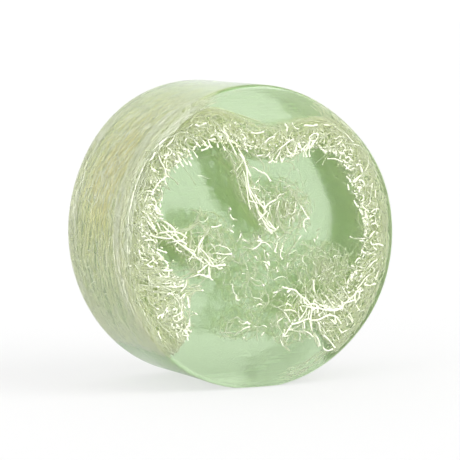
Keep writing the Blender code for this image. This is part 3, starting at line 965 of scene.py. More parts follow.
RIGHT_SEPTUM = strand_table("""
.36 0 0 .2 0 15,-19.4 17,-18.9 19.6,-19.6 22,-19.8 24.4,-19.3
.34 0 0 0 0 14.6,-19.4 14.3,-21.4 15.4,-22 17.6,-21.8 20.4,-20.9 22.4,-21.6 23.8,-23.4
.40 0 .1 0 0 15.2,-19 15,-20.8 14.8,-22.6
.38 .4 .1 0 .2 15,-22.6 15.4,-24.6 16,-26.2 16.8,-27.6 17.3,-28.9
.30 .3 .1 0 .2 16.2,-25 17,-26.8 17.6,-28.6
.24 .2 .2 0 0 16,-22.2 18,-22.8 19.6,-24.2 20.8,-26 21.8,-27.6
.28 0 .2 0 .3 20.6,-22 22,-23.2
.30 0 .1 0 .2 22,-21.5 22.4,-23 23.2,-24.6 24.2,-25.8
.30 .2 0 0 .4 18.6,-25.8 20,-27 21.2,-28.4 22,-29.4
.30 .1 0 0 .3 18.4,-27.8 18.7,-29.4 20,-30.1 21.4,-29.6
.24 .3 .3 0 0 18.6,-20 19.4,-20.9 21,-21.2
.22 .4 .3 0 0 16.6,-19.2 16.2,-20.6 17,-21.8
.24 .3 0 0 .2 24.6,-19.2 26.2,-21 27.4,-22.8
.24 .2 .1 0 .2 23.6,-20.2 25.2,-22.2 25.6,-24
.30 .2 0 0 .2 24.2,-19.2 26.4,-17.6 28,-17.6 28,-18.4
.26 .1 0 0 .2 27.8,-18.4 29.2,-20.2
.34 .1 0 .2 .2 30.4,-13.7 32,-13.9 34,-13.7
.26 .2 0 0 .2 28.4,-14.6 31.2,-11.8 33.6,-10.4
.26 .3 0 0 .2 29.6,-11.6 31.4,-9.4 34.4,-7.2
""")
LOWER_NET = strand_table("""
.34 0 .1 .7 0 9.3,-22.5 11.6,-22.3 13.2,-21.7 14.6,-21.4
.32 .1 .1 .2 0 8.2,-23.9 10,-24.2 12.4,-24.7 14.4,-25 15.6,-26.2
.28 0 .1 .2 .2 12.9,-22 13.1,-23.9
.26 0 .1 0 .3 9.5,-22.4 10.6,-21.6
.25 .2 .7 0 0 7,-24.6 7,-26.4 7.5,-28 8.8,-29.4
.26 .1 .1 .3 .2 6.9,-25.6 8,-24.6 9.4,-22.8
.24 0 .1 0 .3 7.2,-25.5 8.9,-25.6
.24 .1 .5 .2 0 9,-22 7.9,-20 6.4,-18.6 4.6,-17.6
.23 .2 .2 0 .2 5.2,-21.8 6.8,-20.9 8.4,-20.1
.22 .3 .4 0 0 4.8,-21.8 6,-23.4 7.2,-25.2
.22 .3 .4 0 0 5.2,-19.4 5.4,-21.4 6.2,-23.2
.20 .4 .2 0 .3 8.6,-21 9,-19.8 8.8,-19.2
""")
CENTRE_NET = strand_table("""
.26 .1 0 0 0 -3.5,-2.6 -1.8,-2.9 -.2,-2.3 .8,-1.2
.24 0 .1 0 .3 .4,-1.4 1.8,-1.4 3,-2.4 4,-3.4
.28 0 .1 .3 .2 -.4,-1 .6,-1 1.6,-.9
.25 0 .1 .2 .2 .3,-.3 .6,-1.4 .2,-2
.32 0 .3 .1 0 -1.1,-4.8 .1,-5.8
.27 0 .3 .1 0 2.2,-4.2 2.8,-4.8 3,-5.8
.24 0 .1 0 .4 1.4,-6.2 2.4,-6.6 3.1,-7.3
.28 0 .1 .2 .3 2.5,-6.4 3,-6.6 3,-7.4
.30 0 .3 .1 .1 5,-7.8 5.4,-9
.25 .3 0 0 .4 5.4,.4 5.3,-1.2 4.9,-2.8 4.5,-4
.22 .4 0 0 .5 8.4,-.4 7.2,-2.2 6.3,-4 6.2,-5.2 6.9,-6
.25 .3 .1 0 .2 12.2,-.2 10.2,-2.6 8.4,-5
.26 0 .2 0 .2 8.2,-6.8 8.3,-8.4
.20 .9 .6 0 0 -5,-3.6 -3.6,-6.2 -2.8,-8.2 -2.3,-10
.20 .5 .9 0 0 -2.3,-10 -3,-12 -3.5,-14.2
.24 .2 .1 0 .2 -2.2,-10.1 -.6,-10.9 .6,-11.2 1.6,-12.4
.20 .3 .7 0 0 1.4,-12.4 2.4,-14.2 3.1,-15.6 2.8,-17.4
.20 .4 .7 0 0 1.4,-13.8 .6,-15.4 .8,-16.8 1.6,-17.3 2.6,-16.6
.34 0 .1 .2 .2 4.1,-14.3 5.3,-14.1
.26 0 .1 .1 .3 -6.4,-14 -6.3,-15.3 -5.3,-15.6 -4.8,-14.9
.26 0 .2 .2 .1 -8,7.7 -7.7,6.9
.26 0 .2 .1 .3 -8,6 -7.6,5.3 -6.9,4.7
.24 .1 .2 0 .3 -8.6,2.4 -7.8,2 -7.1,1.5
.22 .1 .3 .2 0 -4.9,1.2 -5.3,.1 -6.2,-1.2
.22 .1 .3 0 .2 -4.6,-.4 -3.8,-.8 -3,-1.4
.24 .1 .3 .2 0 -.6,-17.2 .4,-17 1.4,-17.3
.22 .5 1 0 0 -1.2,-7.6 -.6,-9.2 -1.4,-10.4
.20 .6 1 0 0 11.8,-2.4 14,-2.8 15.6,-3.6
.20 .5 .9 0 0 10.6,-4.6 12.6,-5.4 14.6,-5.2
.24 0 .3 .2 0 15.8,-1.2 16.2,-2.2
.24 0 .3 .2 0 17,-.6 16.4,-1.6
""")
LOOSE_TUFT = strand_table("""
.28 .3 0 0 .5 -7.2,-20.1 -6,-19.9 -4.8,-20.7 -3.4,-21.3 -2.5,-21.9
.30 .1 0 0 .3 -5.6,-20.9 -4.4,-21.6 -3,-21.2
.30 .2 0 0 .4 -6.8,-24.6 -5.4,-23.6 -4.2,-22.9 -2.4,-22.5
.20 .9 .4 0 0 -9.2,-23.6 -8.6,-21.4 -7.6,-20.4 -6.4,-20
.20 1 .5 0 0 -8.4,-24.2 -7.8,-22.2 -6.8,-20.8
.22 .2 .3 0 0 -1.8,-22.2 0,-22.8 1.4,-22.3 2.4,-22.9
.22 .2 .5 0 .1 0,-22.8 -.5,-24.4 -.2,-26.2
.24 .1 .2 0 .3 1.6,-24.2 .8,-25.1
.24 .1 .2 .2 .2 -4,-25 -4.3,-25.7
.20 .7 1.2 0 0 -2,-21.8 -1.4,-20.4 -2.4,-19
""")
TOP_WALL = strand_table("""
.23 .3 0 0 .5 15.8,26.6 15.4,25 14,22.8 12.9,21 12.8,19.6
.22 .4 0 0 .8 17.4,25.2 15.6,23.4 14.3,21.4 14.5,19.6
.24 .3 0 0 .9 9.7,24.4 10.1,22.4 9.7,19.8
.26 .3 0 0 .5 4.8,20.6 6,22 7.8,23.3 9.9,24.2
.22 .4 .2 0 0 11.4,25.4 10.8,23.8 10.3,22 10.4,20.6
.18 .6 .3 0 .2 12.2,23.4 12,22.2 11.8,20.8
.22 .2 0 0 .8 14.2,22.4 13.4,20.8 13.6,19.5
.24 .3 0 0 .4 16.4,22.8 17.8,21.6 19.2,20.3
.22 .1 .2 0 .3 15.2,22.9 14.8,21.4 15.4,20.8 16.2,21.2
.24 .2 0 0 .4 17.2,22.6 18.4,21.1
.28 0 .2 .2 0 2.8,18.6 3.8,19 4.8,18.4
.24 .2 .4 0 0 3.8,19 3.9,20.4 4.4,21.6
.20 .1 .3 .3 0 4.9,18.8 5.2,19.8 5.8,20.8
.26 .3 0 0 .5 6,21.2 6.3,19.6 6.6,18.5
.24 .3 0 0 .3 7.6,21.4 8.3,19.9
.19 .2 .3 0 0 8.8,19.6 9.4,20.5 10.2,20.3 10.5,19.4 9.8,18.9 9,19.1
.20 .2 .4 .2 0 11.2,18.6 11.5,19.8 11.2,20.8
.26 .2 0 0 .3 1.6,23.6 2.9,24.7 4.6,25
.22 .3 .3 0 0 4.2,25.4 5.2,26 6.4,26.7
.20 .4 .4 0 0 6.1,26.2 5.8,24.4 5.9,22.8
.20 .4 .2 0 .2 3.9,23 3.8,21.4
.20 .4 .3 0 0 .4,22.6 1.8,23.4 2.6,24.2
.22 .3 .2 0 .2 4.4,24.8 2.6,23.6 1.4,22.4
.29 0 0 .2 .2 -2.3,26.2 -.6,26.1 1.5,26.3
.26 .1 .2 .1 .1 -1.4,25.6 -.6,24.6 .1,24
.24 .3 .1 0 .2 -3.8,23.2 -2.2,22.9 -.8,22.7 .2,22.1
.26 .2 .1 0 .2 .4,20.2 1.8,20 2.8,20.6 3.2,21.4
.28 .3 0 0 .1 -9,26.8 -8.1,24.2 -7.2,22.5 -6.1,20.8
.24 .3 .1 0 .1 -5.7,23.8 -5.5,22.2 -4.6,20.6 -4.1,19.8
.30 0 .2 .2 0 -4.5,24.5 -3.4,24.9 -2.7,24.3
.20 .3 .1 0 .3 -5.4,27.6 -4.7,26.5 -3.6,26.1
.34 0 .4 .2 0 -6.6,29 -6.1,28.3
.24 0 .3 .2 0 -8.1,28.5 -7.7,27.7
.34 0 0 .1 .3 12.8,27.6 15,27.5 16.7,27.7
.30 0 .1 .2 0 7.4,28.2 8,27.2 7.8,26.4
.28 0 .1 .2 0 9.4,28.4 10.2,27.3 11.3,26.8
.25 0 .2 .2 0 18.6,27.6 21.8,27.4
.24 0 .2 .2 .2 21.6,27 24.4,25.4 27.2,23
.22 .1 .4 .2 0 20.6,26.2 23.4,24.6 25.8,23.8
""")
UPPER_LEFT_WALL = strand_table("""
.30 0 0 .2 .3 -17.5,28.7 -16.8,28.4 -15.9,28.5 -15.2,28.8 -14.6,28.9
.22 .3 .3 0 0 -18.4,28.8 -19.6,27.8 -20,27 -20.1,25.8
.26 .2 .1 0 0 -20.4,26.8 -21.8,26.9 -23.6,26.1 -25.2,25.6 -26.6,24.9 -27.6,24
.26 0 .2 0 0 -23.2,26 -24.2,24.9 -25,24 -25.6,23.4
.28 .2 .1 0 .2 -24.7,22.8 -25.5,21.2 -26,20.4
.26 .3 0 0 0 -28,22.6 -27.4,21 -26.8,19.4 -26,18 -25.5,16.2
.30 .1 0 .3 .2 -29.4,11.6 -28.9,13.2 -27.8,14.5 -26.4,15.6 -25.4,16.3 -24.8,15.8
.22 .3 0 0 .3 -25.3,20.2 -25.6,18.8 -25.3,17.2 -24.8,16.6
.20 .5 .2 0 .2 -21.8,24 -20.6,23.1 -19.7,22.6
.28 .2 .1 0 .2 -20,25.8 -18.5,25.2 -17.4,24.3 -16.2,23.1
.24 .1 .3 .2 0 -20.6,24.1 -20.4,25 -19.7,25.4
.24 0 .2 .3 .3 -18.1,22.4 -17.9,23.2 -17.1,23.2 -16.8,22.4
.32 0 0 .2 .4 -16.2,22.2 -15.2,22.5 -14.2,22.9 -13.4,23.5
.28 .2 0 0 .9 -14.6,25.6 -13.9,24.2 -13.1,22.9
.25 .3 0 0 .4 -16.6,25.8 -15.4,24.6 -14.4,23.2
.24 .4 .1 0 .2 -12,27.4 -11.4,26 -10.2,24.6
.24 .3 0 0 .3 -12.4,29.4 -11.4,28.6 -10.4,27.2 -9.2,26.2
.24 .2 0 0 .6 -12.6,25.4 -11.8,24.2 -11.4,22.8
.24 .3 0 0 .5 -10.8,25.2 -10.2,23.6 -9.4,22
.24 .4 0 0 .7 -21.4,23.2 -20,21.8 -18.5,20.1
.22 .4 0 0 .3 -19.4,23 -18.2,22 -17,20.6
.20 .5 0 0 .8 -23.6,22.6 -22.6,21.4 -21.5,20.1
.24 .3 0 0 .7 -23.6,20.6 -23,19.4 -22.5,18.2
.23 .4 0 0 .6 -22.8,21.2 -21.8,19.8 -20.9,18.4
.23 .4 0 0 .6 -21.6,21.4 -20.6,20 -19.9,18.8
.23 .3 0 0 .6 -20.4,21 -19.5,19.8 -18.8,18.6
.23 .4 0 0 .5 -24.6,19.6 -23.8,18.2 -23,16.9
.22 .3 .3 0 0 -27.4,23.2 -26.4,23.7 -25.2,23.4 -24.6,22.6
.34 0 .1 0 0 -28.6,22.2 -29.4,21 -30.2,20.2
.34 0 .1 .1 .1 -29.4,18.2 -28.8,17.6 -28.2,17.7
.23 .2 .1 0 0 -29,20.2 -29.5,19 -29.3,18
.24 .3 0 0 .4 -25.7,16 -25.9,14.8 -25.5,14
.26 .1 .2 0 0 -30.2,12.6 -31,11.4 -31.6,10.2
.30 0 .2 .2 0 -27,12.9 -26.7,11.5 -26.9,10.2
.24 .4 .1 0 .2 -30.8,17.6 -30,16.2 -29.8,14.6
.22 .4 .2 0 0 -31.6,16.4 -31.4,14.4 -32.2,12.6
.22 .5 .1 0 .4 -28.4,16.8 -27.6,15.8 -27.2,14.9
""")
LEFT_WALL = strand_table("""
.30 .2 0 0 .2 -29.2,13.2 -29.6,11.6 -29.2,10.4
.25 .3 0 0 .5 -29.6,10.6 -28.6,10.2 -28.3,8.8
.26 .2 0 0 .4 -28.2,10.6 -27.5,9.9 -27.1,8.7
.26 .3 0 0 .4 -28.8,9.2 -27.9,8.4 -27.3,7.4
.36 .1 0 0 .1 -28.4,7.4 -27.4,6.9 -26.4,6.6
.32 .2 0 0 .2 -29,6.6 -27.9,6.2 -26.6,5.7
.36 .2 0 0 0 -27.4,5.6 -25.9,5 -24.6,4 -23.4,2.9 -23.4,1.6
.26 .2 0 0 .3 -31.8,7.8 -31.2,7 -30.8,5.8 -29.8,4.3 -29.1,3.2
.26 .3 0 0 0 -33.3,3.4 -31.9,2.4 -29.8,1.8 -27.5,1.2 -25,.8 -23.8,1.3
.28 .2 .1 0 .2 -31.8,.8 -29.4,.6 -28.4,-.1
.22 .2 .1 0 0 -27.7,-.4 -26.5,.5 -25,.8
.28 .2 .1 0 .1 -28,4.9 -27.3,3.2 -26.9,2.1
.28 .1 0 0 0 -27.5,4.5 -26.3,4 -25.2,2.9 -23.9,1.9
.28 .1 0 0 .3 -28.2,-1.6 -27,-2.2 -25.5,-2.6
.34 .1 0 0 .2 -28.4,-2.4 -27.3,-3.3 -26.4,-4.2 -25.2,-5.4
.34 0 .1 .2 .1 -30.9,-5.2 -30.2,-5.8 -29.4,-5.8
.36 0 .1 .1 .2 -26.4,-7 -25,-7.1 -24.1,-7.2
.36 0 .2 0 0 -24.9,-7.1 -25,-8.3 -26.1,-8.9 -26.8,-9.9
.30 .2 .2 0 0 -33,-1.6 -32.7,-3.2 -32,-4.7
.26 .2 .2 0 0 -30.6,-8 -30.4,-9.2 -29.6,-10.1 -29.3,-11.6
.26 0 .3 .3 0 -27.2,-1.1 -26.7,-1.4
.22 .5 .1 0 .3 -30.6,-.6 -29.4,-1.6 -28.8,-2.6
.22 .5 .2 0 .2 -32.4,-6.6 -31.2,-7.4 -29.8,-7.4
.22 .4 .1 0 .3 -29.6,-3.2 -29.2,-4.4 -28,-5.2
.24 .3 .1 0 .3 -28.6,-6.6 -27.6,-7.6 -27,-8.6
.20 .6 .3 0 0 -33.4,10.4 -32.8,8.4 -32.9,6
.20 .6 .3 0 0 -33.6,6.8 -32.9,4.6 -31.4,3.4
.20 .5 .3 0 0 -30.4,9 -30,7.4 -29.2,6.4
""")
RIGHT_WALL = strand_table("""
.27 0 0 .2 .2 19.6,19.1 21.8,18.8 24,18.1
.28 0 .1 .2 .2 18.4,21 19.4,20.7
.24 .2 0 0 .3 20,21.1 21.8,20.5
.20 .3 .3 0 0 21.2,22.2 22.8,22.6 24.4,22.7 26.2,22.5 28,22.3 29.4,21.6 30.6,20.4
.20 .3 .2 0 0 22,19.4 23.2,19.9 24.4,20.6
.29 0 .1 .1 .2 24.7,19 25.7,19.2 26.4,18.4
.26 .1 .1 0 .2 25.6,20 26.8,19.7 26.7,18.8
.28 .1 0 .2 .2 24.2,17.3 25.2,16.8 26.2,16 27.1,16
.26 .1 .2 .2 0 25.2,17.5 26.4,16.8
.34 0 .1 .1 .2 27.9,17 28.9,17.2 29.4,16.3 29.8,15.3
.30 0 .2 .3 .2 25.1,14.3 26,13.5 26.2,12.8
.34 0 .2 .2 0 27.1,12.9 27.6,13.5
.28 0 .2 .1 .1 28.7,13.1 29.7,13.1 30.3,12.2 29.9,11.4
.26 .1 .1 .1 .1 28.2,11.1 29.1,11.3 29.9,11
.32 0 .1 .1 .1 25.5,12.4 25.9,10.8
.24 0 .2 .2 0 26.7,10.3 27.5,9.8 28.2,9.9
.25 0 .2 .1 .1 28.9,9.5 29.9,9.3 30.3,8.3 29.6,7.9
.36 0 .1 .1 .1 27.4,8.2 27.9,7 28.6,6.4
.26 .1 .1 .1 .1 29.1,7.4 29.6,6.8 30.6,5.8 31.8,5.2
.29 0 .2 .2 0 28.8,5.9 29.5,4.9 30,4
.29 0 .1 .1 .1 29.8,3.6 31,2.1 32,1.8
.30 0 .1 .1 .1 30.5,3.7 31.5,3.2 31.5,2.2
.27 0 .2 .1 0 30,2.8 31,1.1 32,.2
.28 0 .1 .1 .1 32,3.5 33,3.9 33.7,3.5 33.7,2.2 33,1.8
.22 .1 .3 0 0 32.4,3.1 32.8,2.1
.32 0 .1 .1 .1 32,-1.6 32.8,-.7 33.5,0
.29 0 .2 .1 .1 30.4,-.6 31.4,-1.8
.26 .3 0 0 .1 26.2,-1.1 27.6,-1.6 29.2,-1.8 30.3,-2
.28 0 .2 .1 .1 29,-2.3 30.9,-2.6
.28 0 .2 .1 .1 30.4,-3.8 31.6,-4.7
.32 0 .1 .2 .1 29.6,-4.7 30.3,-5.4 31,-5.7
.32 0 .1 .1 .1 32.4,-2.6 33,-3.6 34.5,-3.4 36,-3.9
.32 0 .1 0 .1 33,-4 34.2,-4.9
.28 .1 .1 0 0 32.2,7.3 32.3,9.6 32.5,11.3 33,12.4
.26 .2 .2 0 0 33.4,11.6 33.7,10 33.7,8.5
.25 .1 .2 0 0 32.4,4.9 33.4,5.5 34.9,5.5 35.8,4.9
.22 .3 .3 0 0 30.8,14.6 31.6,15.3 32.8,14.7
.22 .4 .3 0 0 30.2,13.4 30.9,11.4 30.6,9
.22 .3 .3 0 0 31.4,-8.1 32.6,-6.9 34.2,-6
.22 .3 .3 0 0 34.4,-7.4 35.4,-6.2 35.9,-7.4
.28 0 .2 .1 .1 27.8,-7.8 28.8,-6.8 29.3,-7.2
.29 0 .2 .1 .1 26.6,-8.4 27.8,-9.1
.29 0 .2 .1 .1 27.5,-10.1 28.5,-10.6
.30 0 .2 .1 0 28.1,-10.2 27.9,-11.2
.28 0 .2 .1 .1 28,-13.8 28.7,-14.4
.28 0 .2 .1 .1 27,-14.8 27.5,-15.3
.25 .2 .2 0 0 28.8,-12.9 29.7,-12 31.3,-10.9 32.6,-9.8
.23 .2 .2 0 0 32.6,-9.2 33.5,-9.8 33.3,-10.7
.27 .1 0 0 .1 34.6,-10.4 34.3,-11.3 33.9,-12.5 34.6,-12.5
.25 .1 .1 0 0 30.4,-13.4 32,-13.1 33.8,-13.6
.29 .1 0 0 0 29.6,-14.3 29,-16 29,-17.2 28.1,-17.9
.20 .7 .5 0 0 17.6,-13.8 18.7,-15.1 19.5,-16.3
.23 .5 .4 0 0 17.8,-16.6 19.4,-17.2 21.4,-16.9 22.7,-17.6
.22 .5 .1 0 0 23.3,-16.4 22.5,-18.3 21.7,-19.2
.20 .6 .3 0 0 21.2,-15.4 22.4,-17.3
.22 .4 .1 0 0 25.5,-16.2 24.3,-17.9 22.7,-18.9
.23 .3 .2 0 0 20.4,-22.4 21.4,-24.3 22.3,-25.7 23.2,-27.7
.21 .3 .3 0 0 16.2,-22.8 17.8,-23.4 18.7,-24.5 19.7,-26.2
.26 .1 .3 0 0 24.1,-25.6 25,-25.3 26.6,-24.8
.24 .1 0 0 .2 25.8,-21.6 26.5,-22.2 27.1,-23.2
.40 .4 .3 0 0 13.8,-19.4 13.4,-21.6 13.1,-23.6
""")
STRAY = strand_table(".12 .1 .5 0 0 -17,16 -15.6,15.8 -14.2,15.3 -13,15")


# ------------------------------------------------------------------ materials
def set_inputs(tree, node, *sources, **values):
    """Sets or links a node's inputs, by place or by name with _ for a space."""
    for key, value in [*enumerate(sources), *values.items()]:
        socket = node.inputs[key.replace("_", " ") if isinstance(key, str) else key]
        if isinstance(value, bpy.types.NodeSocket):
            tree.links.new(value, socket)
        else:
            socket.default_value = value


def add_node(tree, kind, *sources, settings=None, **values):
    node = tree.nodes.new("ShaderNode" + kind)
    for key, value in (settings or {}).items():
        setattr(node, key, value)
    set_inputs(tree, node, *sources, **values)
    return node


def new_material(name):
    material = bpy.data.materials.new(name)
    material.use_nodes = True
    tree = material.node_tree
    tree.nodes.clear()
    output = add_node(tree, "OutputMaterial")
    bsdf = add_node(tree, "BsdfPrincipled")
    set_inputs(tree, output, Surface=bsdf.outputs[0])
    return material, tree, bsdf, output


def ramp(tree, stops, source):
    node = add_node(tree, "ValToRGB", Fac=source)
    elements = node.color_ramp.elements
    while len(elements) < len(stops):
        elements.new(0.5)
    for element, (position, colour) in zip(elements, stops):
        element.position = position
        element.color = (*colour, 1)
    return node.outputs["Color"]


def fibre_material(name, wet, cut, rough):
    """Plant fibre: wet and yellow-green in the soap, white where it was cut.
    wet is a row of colours, from the tan strands to the palest."""
    material, tree, bsdf, _ = new_material(name)
    uv = add_node(tree, "UVMap", settings={"uv_map": "OFBake"})
    split = add_node(tree, "SeparateXYZ", uv.outputs["UV"])
    tint = ramp(tree, [(k / (len(wet) - 1), colour) for k, colour in enumerate(wet)],
                split.outputs["Y"])
    place = add_node(tree, "TexCoord").outputs["Object"]
    blotches = add_node(tree, "TexNoise", Scale=900.0, Detail=3.0, Vector=place)
    shade = ramp(tree, [(0.3, (0.99, 0.993, 0.96)), (0.65, (1.0, 1.0, 1.0))],
                 blotches.outputs["Fac"])
    mottled = add_node(tree, "Mix", Factor=1.0, A=tint, B=shade,
                       settings={"data_type": 'RGBA', "blend_type": 'MULTIPLY'})
    dull_cut = tuple(c * share for c, share in zip(cut, (0.88, 0.90, 0.82)))
    ends = ramp(tree, [(0.0, dull_cut), (0.9, cut)], split.outputs["Y"])
    mixed = add_node(tree, "Mix", Factor=split.outputs["X"],
                     A=mottled.outputs["Result"], B=ends,
                     settings={"data_type": 'RGBA'})
    grain = add_node(tree, "TexNoise", Scale=5000.0, Vector=place)
    relief = add_node(tree, "Bump", Strength=0.35, Distance=0.00005,
                      Height=grain.outputs["Fac"])
    set_inputs(tree, bsdf, Base_Color=mixed.outputs["Result"], Roughness=rough, IOR=1.45,
               Specular_IOR_Level=0.1, Normal=relief.outputs["Normal"])
    return material


def knife_marks(tree, bsdf):
    """Fine scratches across the cut faces."""
    coord = add_node(tree, "TexCoord")
    place = add_node(tree, "Mapping", Vector=coord.outputs["Object"],
                     Rotation=(0, math.radians(-7), 0), Scale=(22.0, 22.0, 900.0))
    lines = add_node(tree, "TexNoise", Vector=place.outputs["Vector"], Scale=1.0,
                     Detail=4.0, Roughness=0.6)
    relief = add_node(tree, "Bump", Strength=1.0, Distance=0.00013,
                      Height=lines.outputs["Fac"])
    set_inputs(tree, bsdf, Normal=relief.outputs["Normal"])


def soap_material(name, rough, marked=False):
    """Rough-surfaced clear glass with its colour in its depth."""
    material, tree, bsdf, output = new_material(name)
    set_inputs(tree, bsdf, Base_Color=(0.94, 0.98, 0.91, 1), Roughness=rough, IOR=1.47,
               Transmission_Weight=1.0)
    absorb = add_node(tree, "VolumeAbsorption", Color=(0.50, 0.838, 0.27, 1),
                      Density=16.5)
    cloud = add_node(tree, "VolumeScatter", Color=(0.99, 1.0, 0.97, 1), Density=16.0,
                     Anisotropy=0.6)
    both = add_node(tree, "AddShader", absorb.outputs[0], cloud.outputs[0])
    set_inputs(tree, output, Volume=both.outputs[0])
    if marked:
        knife_marks(tree, bsdf)
    return material


# ------------------------------------------------------------------------ soap
def soap_mesh():
    """The casting: knife-cut faces with faint ripples, soft edges, smooth rim."""
    around, face_rings, edge_steps, rim_steps = 240, 56, 8, 26
    angle = np.arange(around) * 360.0 / around - 90.0
    edge = (1.05 + bump(angle, 170.0, 0.7, 40.0)
            + 0.15 * np.cos(np.radians(7 * angle)))
    outline = bar_radius(angle)
    # each ring is (radius, y, how much it ripples)
    front = [((outline - edge) * (k / face_rings), np.full(around, -HALF_Y), 1.0)
             for k in range(1, face_rings)]
    for k in range(edge_steps + 1):
        turn = math.pi / 2 * k / edge_steps
        front.append((outline - edge * (1 - math.sin(turn)),
                      -HALF_Y + edge * (1 - math.cos(turn)), math.cos(turn) ** 2))
    rim = [(outline, (edge - HALF_Y) * (1 - 2 * k / rim_steps), 0.0)
           for k in range(1, rim_steps)]
    back = [(radius, -y, rippled) for radius, y, rippled in reversed(front)]
    rings = front + rim + back

    rng = default_rng(77)
    # wavelength, phase, strength
    waves = [(rng.uniform(1.1, 3.8), rng.uniform(0, 6.28), rng.uniform(0.3, 1.0))
             for _ in range(7)]

    def ripple(x, z, turn):
        cos, sin = math.cos(turn), math.sin(turn)
        over, along = -sin * x + cos * z, cos * x + sin * z
        height = 0
        for wavelength, phase, strength in waves:
            height = height + strength * np.cos(
                2 * np.pi * over / wavelength + phase
                + 0.9 * np.sin(along / 11.0 + phase))
        return 0.013 * height * (0.6 + 0.4 * np.sin(over / 9 + 1.0))

    vertices = [np.array([[0.0, -HALF_Y, 0.0]])]
    for radius, y, rippled in rings:
        x, z = polar(radius, angle)
        swell = 0.10 * np.cos(np.radians(5 * angle + 20) + y / 9.0) * (1 - rippled)
        grow = 1 + swell / BAR_RADIUS
        x, z = x * grow, z * grow
        side = np.sign(y)
        y = y + side * rippled * ripple(x, z, -0.10 if side[0] < 0 else 0.4)
        z = np.maximum(z, -AXIS_Z)             # flat where it stands
        vertices.append(np.stack([x, y, z], 1))
    vertices.append(np.array([[0.0, HALF_Y, 0.0]]))
    vertices = np.concatenate(vertices)

    index = 1 + np.arange(len(rings) * around).reshape(-1, around)
    beside = np.roll(index, -1, axis=1)
    quads = np.stack([index[:-1], index[1:], beside[1:], beside[:-1]], -1)
    centre = np.zeros(around, int)
    front_fan = np.stack([centre, beside[0], index[0]], 1)
    back_fan = np.stack([centre + len(vertices) - 1, index[-1], beside[-1]], 1)
    return mesh_from("soap", vertices, [quads.reshape(-1, 4), front_fan, back_fan])


def build_soap(rim, cut):
    bar = put("soap_bar", soap_mesh(), rim, "soap_casting")
    bar.data.materials.append(cut)
    normals = np.empty(len(bar.data.polygons) * 3)
    bar.data.polygons.foreach_get("normal", normals)
    bar.data.polygons.foreach_set("material_index", (
        np.abs(normals.reshape(-1, 3)[:, 1]) > 0.8).astype(np.int32))


# ------------------------------------------------------------------- assemble
tan = fibre_material("tan_outer_fibre",
                     wet=((0.895, 0.825, 0.36), (0.968, 0.958, 0.56),
                          (0.987, 0.993, 0.73), (0.996, 0.999, 0.84)),
                     cut=(0.90, 0.925, 0.75), rough=0.62)
cream = fibre_material("cream_sponge_fibre",
                       wet=((0.98, 0.99, 0.62), (0.99, 0.995, 0.72),
                            (0.995, 0.998, 0.80)),
                       cut=(0.87, 0.90, 0.70), rough=0.6)
pale = fibre_material("pale_strand",
                      wet=((0.985, 0.992, 0.74), (0.991, 0.996, 0.82),
                           (0.996, 0.999, 0.89)),
                      cut=(0.85, 0.885, 0.72), rough=0.55)
inner = fibre_material("wet_inner_fibre",
                       wet=((0.988, 0.995, 0.84), (0.993, 0.997, 0.89),
                            (0.997, 0.999, 0.93)),
                       cut=(0.87, 0.90, 0.74), rough=0.6)
# Net strands: soap-soaked fibre colours. The greener, darker end of the row, which the deep
# knots get, is painted green shade standing in for their depth in the soap.
soaked_with_painted_shade = fibre_material("net_fibre_soaked_with_painted_green_shade",
                        wet=((0.90, 0.965, 0.70), (0.955, 0.985, 0.78),
                             (0.992, 0.997, 0.85), (0.997, 0.999, 0.89)),
                        cut=(0.85, 0.885, 0.73), rough=0.6)
build_soap(soap_material("green_glycerine_soap", rough=0.18),
           soap_material("green_glycerine_soap_cut_face", rough=0.20, marked=True))


def fibre_piece(name, strands, material, node):
    put(name, strands.mesh(name), material, node)


def front_sponge():
    front = face_sponge(default_rng(3), FRONT)
    drawn(default_rng(31), front, LEFT_BUSHES, spread=0.45, copies=2)
    for seed, table in ((32, TOP_WALL), (35, UPPER_LEFT_WALL), (36, LEFT_WALL),
                        (37, RIGHT_WALL)):
        drawn(default_rng(seed), front, table)
    return front


fibre_piece("loofah_outer_mat", outer_mat(default_rng(1)), tan,
            "outer_fibre_mat")
fibre_piece("loofah_sponge_wall", sponge(default_rng(2)), inner,
            "sponge_wall")
fibre_piece("sponge_front_strands", front_sponge(), pale, "sponge_wall")
fibre_piece("sponge_back_strands", face_sponge(default_rng(4), BACK), pale,
            "sponge_wall")
fibre_piece("front_edge_fibres", edge_fibres(default_rng(33), FRONT), pale,
            "outer_fibre_mat")
fibre_piece("back_edge_fibres", edge_fibres(default_rng(34), BACK), pale,
            "outer_fibre_mat")
fibre_piece("lining_of_right_chamber", lining(default_rng(5), start=-46, end=74), inner,
            "right_chamber_lining")
fibre_piece("lining_of_left_chamber", lining(default_rng(6), start=100, end=192), cream,
            "left_chamber_lining")

upper = web(default_rng(7), ((-8.4, 23.4), (-4.6, 17.6), (-1.6, 10.4), (1.4, 5.0),
                             (4.6, 1.4)), root=4.6, tip=3.2, ribs=120, struts=130)
drawn(default_rng(71), upper, UPPER_SEPTUM)
drawn(default_rng(72), upper, UPPER_SEPTUM, BACK, spread=0.5)
fibre_piece("upper_septum_web", upper, pale, "upper_septum")
left = web(default_rng(8), ((-27.0, 3.6), (-22.5, 0.6), (-18.0, -3.0), (-12.6, -6.4)),
           root=4.4, tip=3.4, ribs=90, struts=90)
drawn(default_rng(81), left, LEFT_SEPTUM)
fibre_piece("left_septum_web", left, pale, "left_septum")
right = web(default_rng(9), ((24.4, -14.6), (19.0, -18.4), (13.0, -19.2), (8.0, -17.0)),
            root=5.6, tip=4.0, ribs=110, struts=120)
drawn(default_rng(91), right, RIGHT_SEPTUM)
fibre_piece("right_septum_web", right, pale, "right_septum")

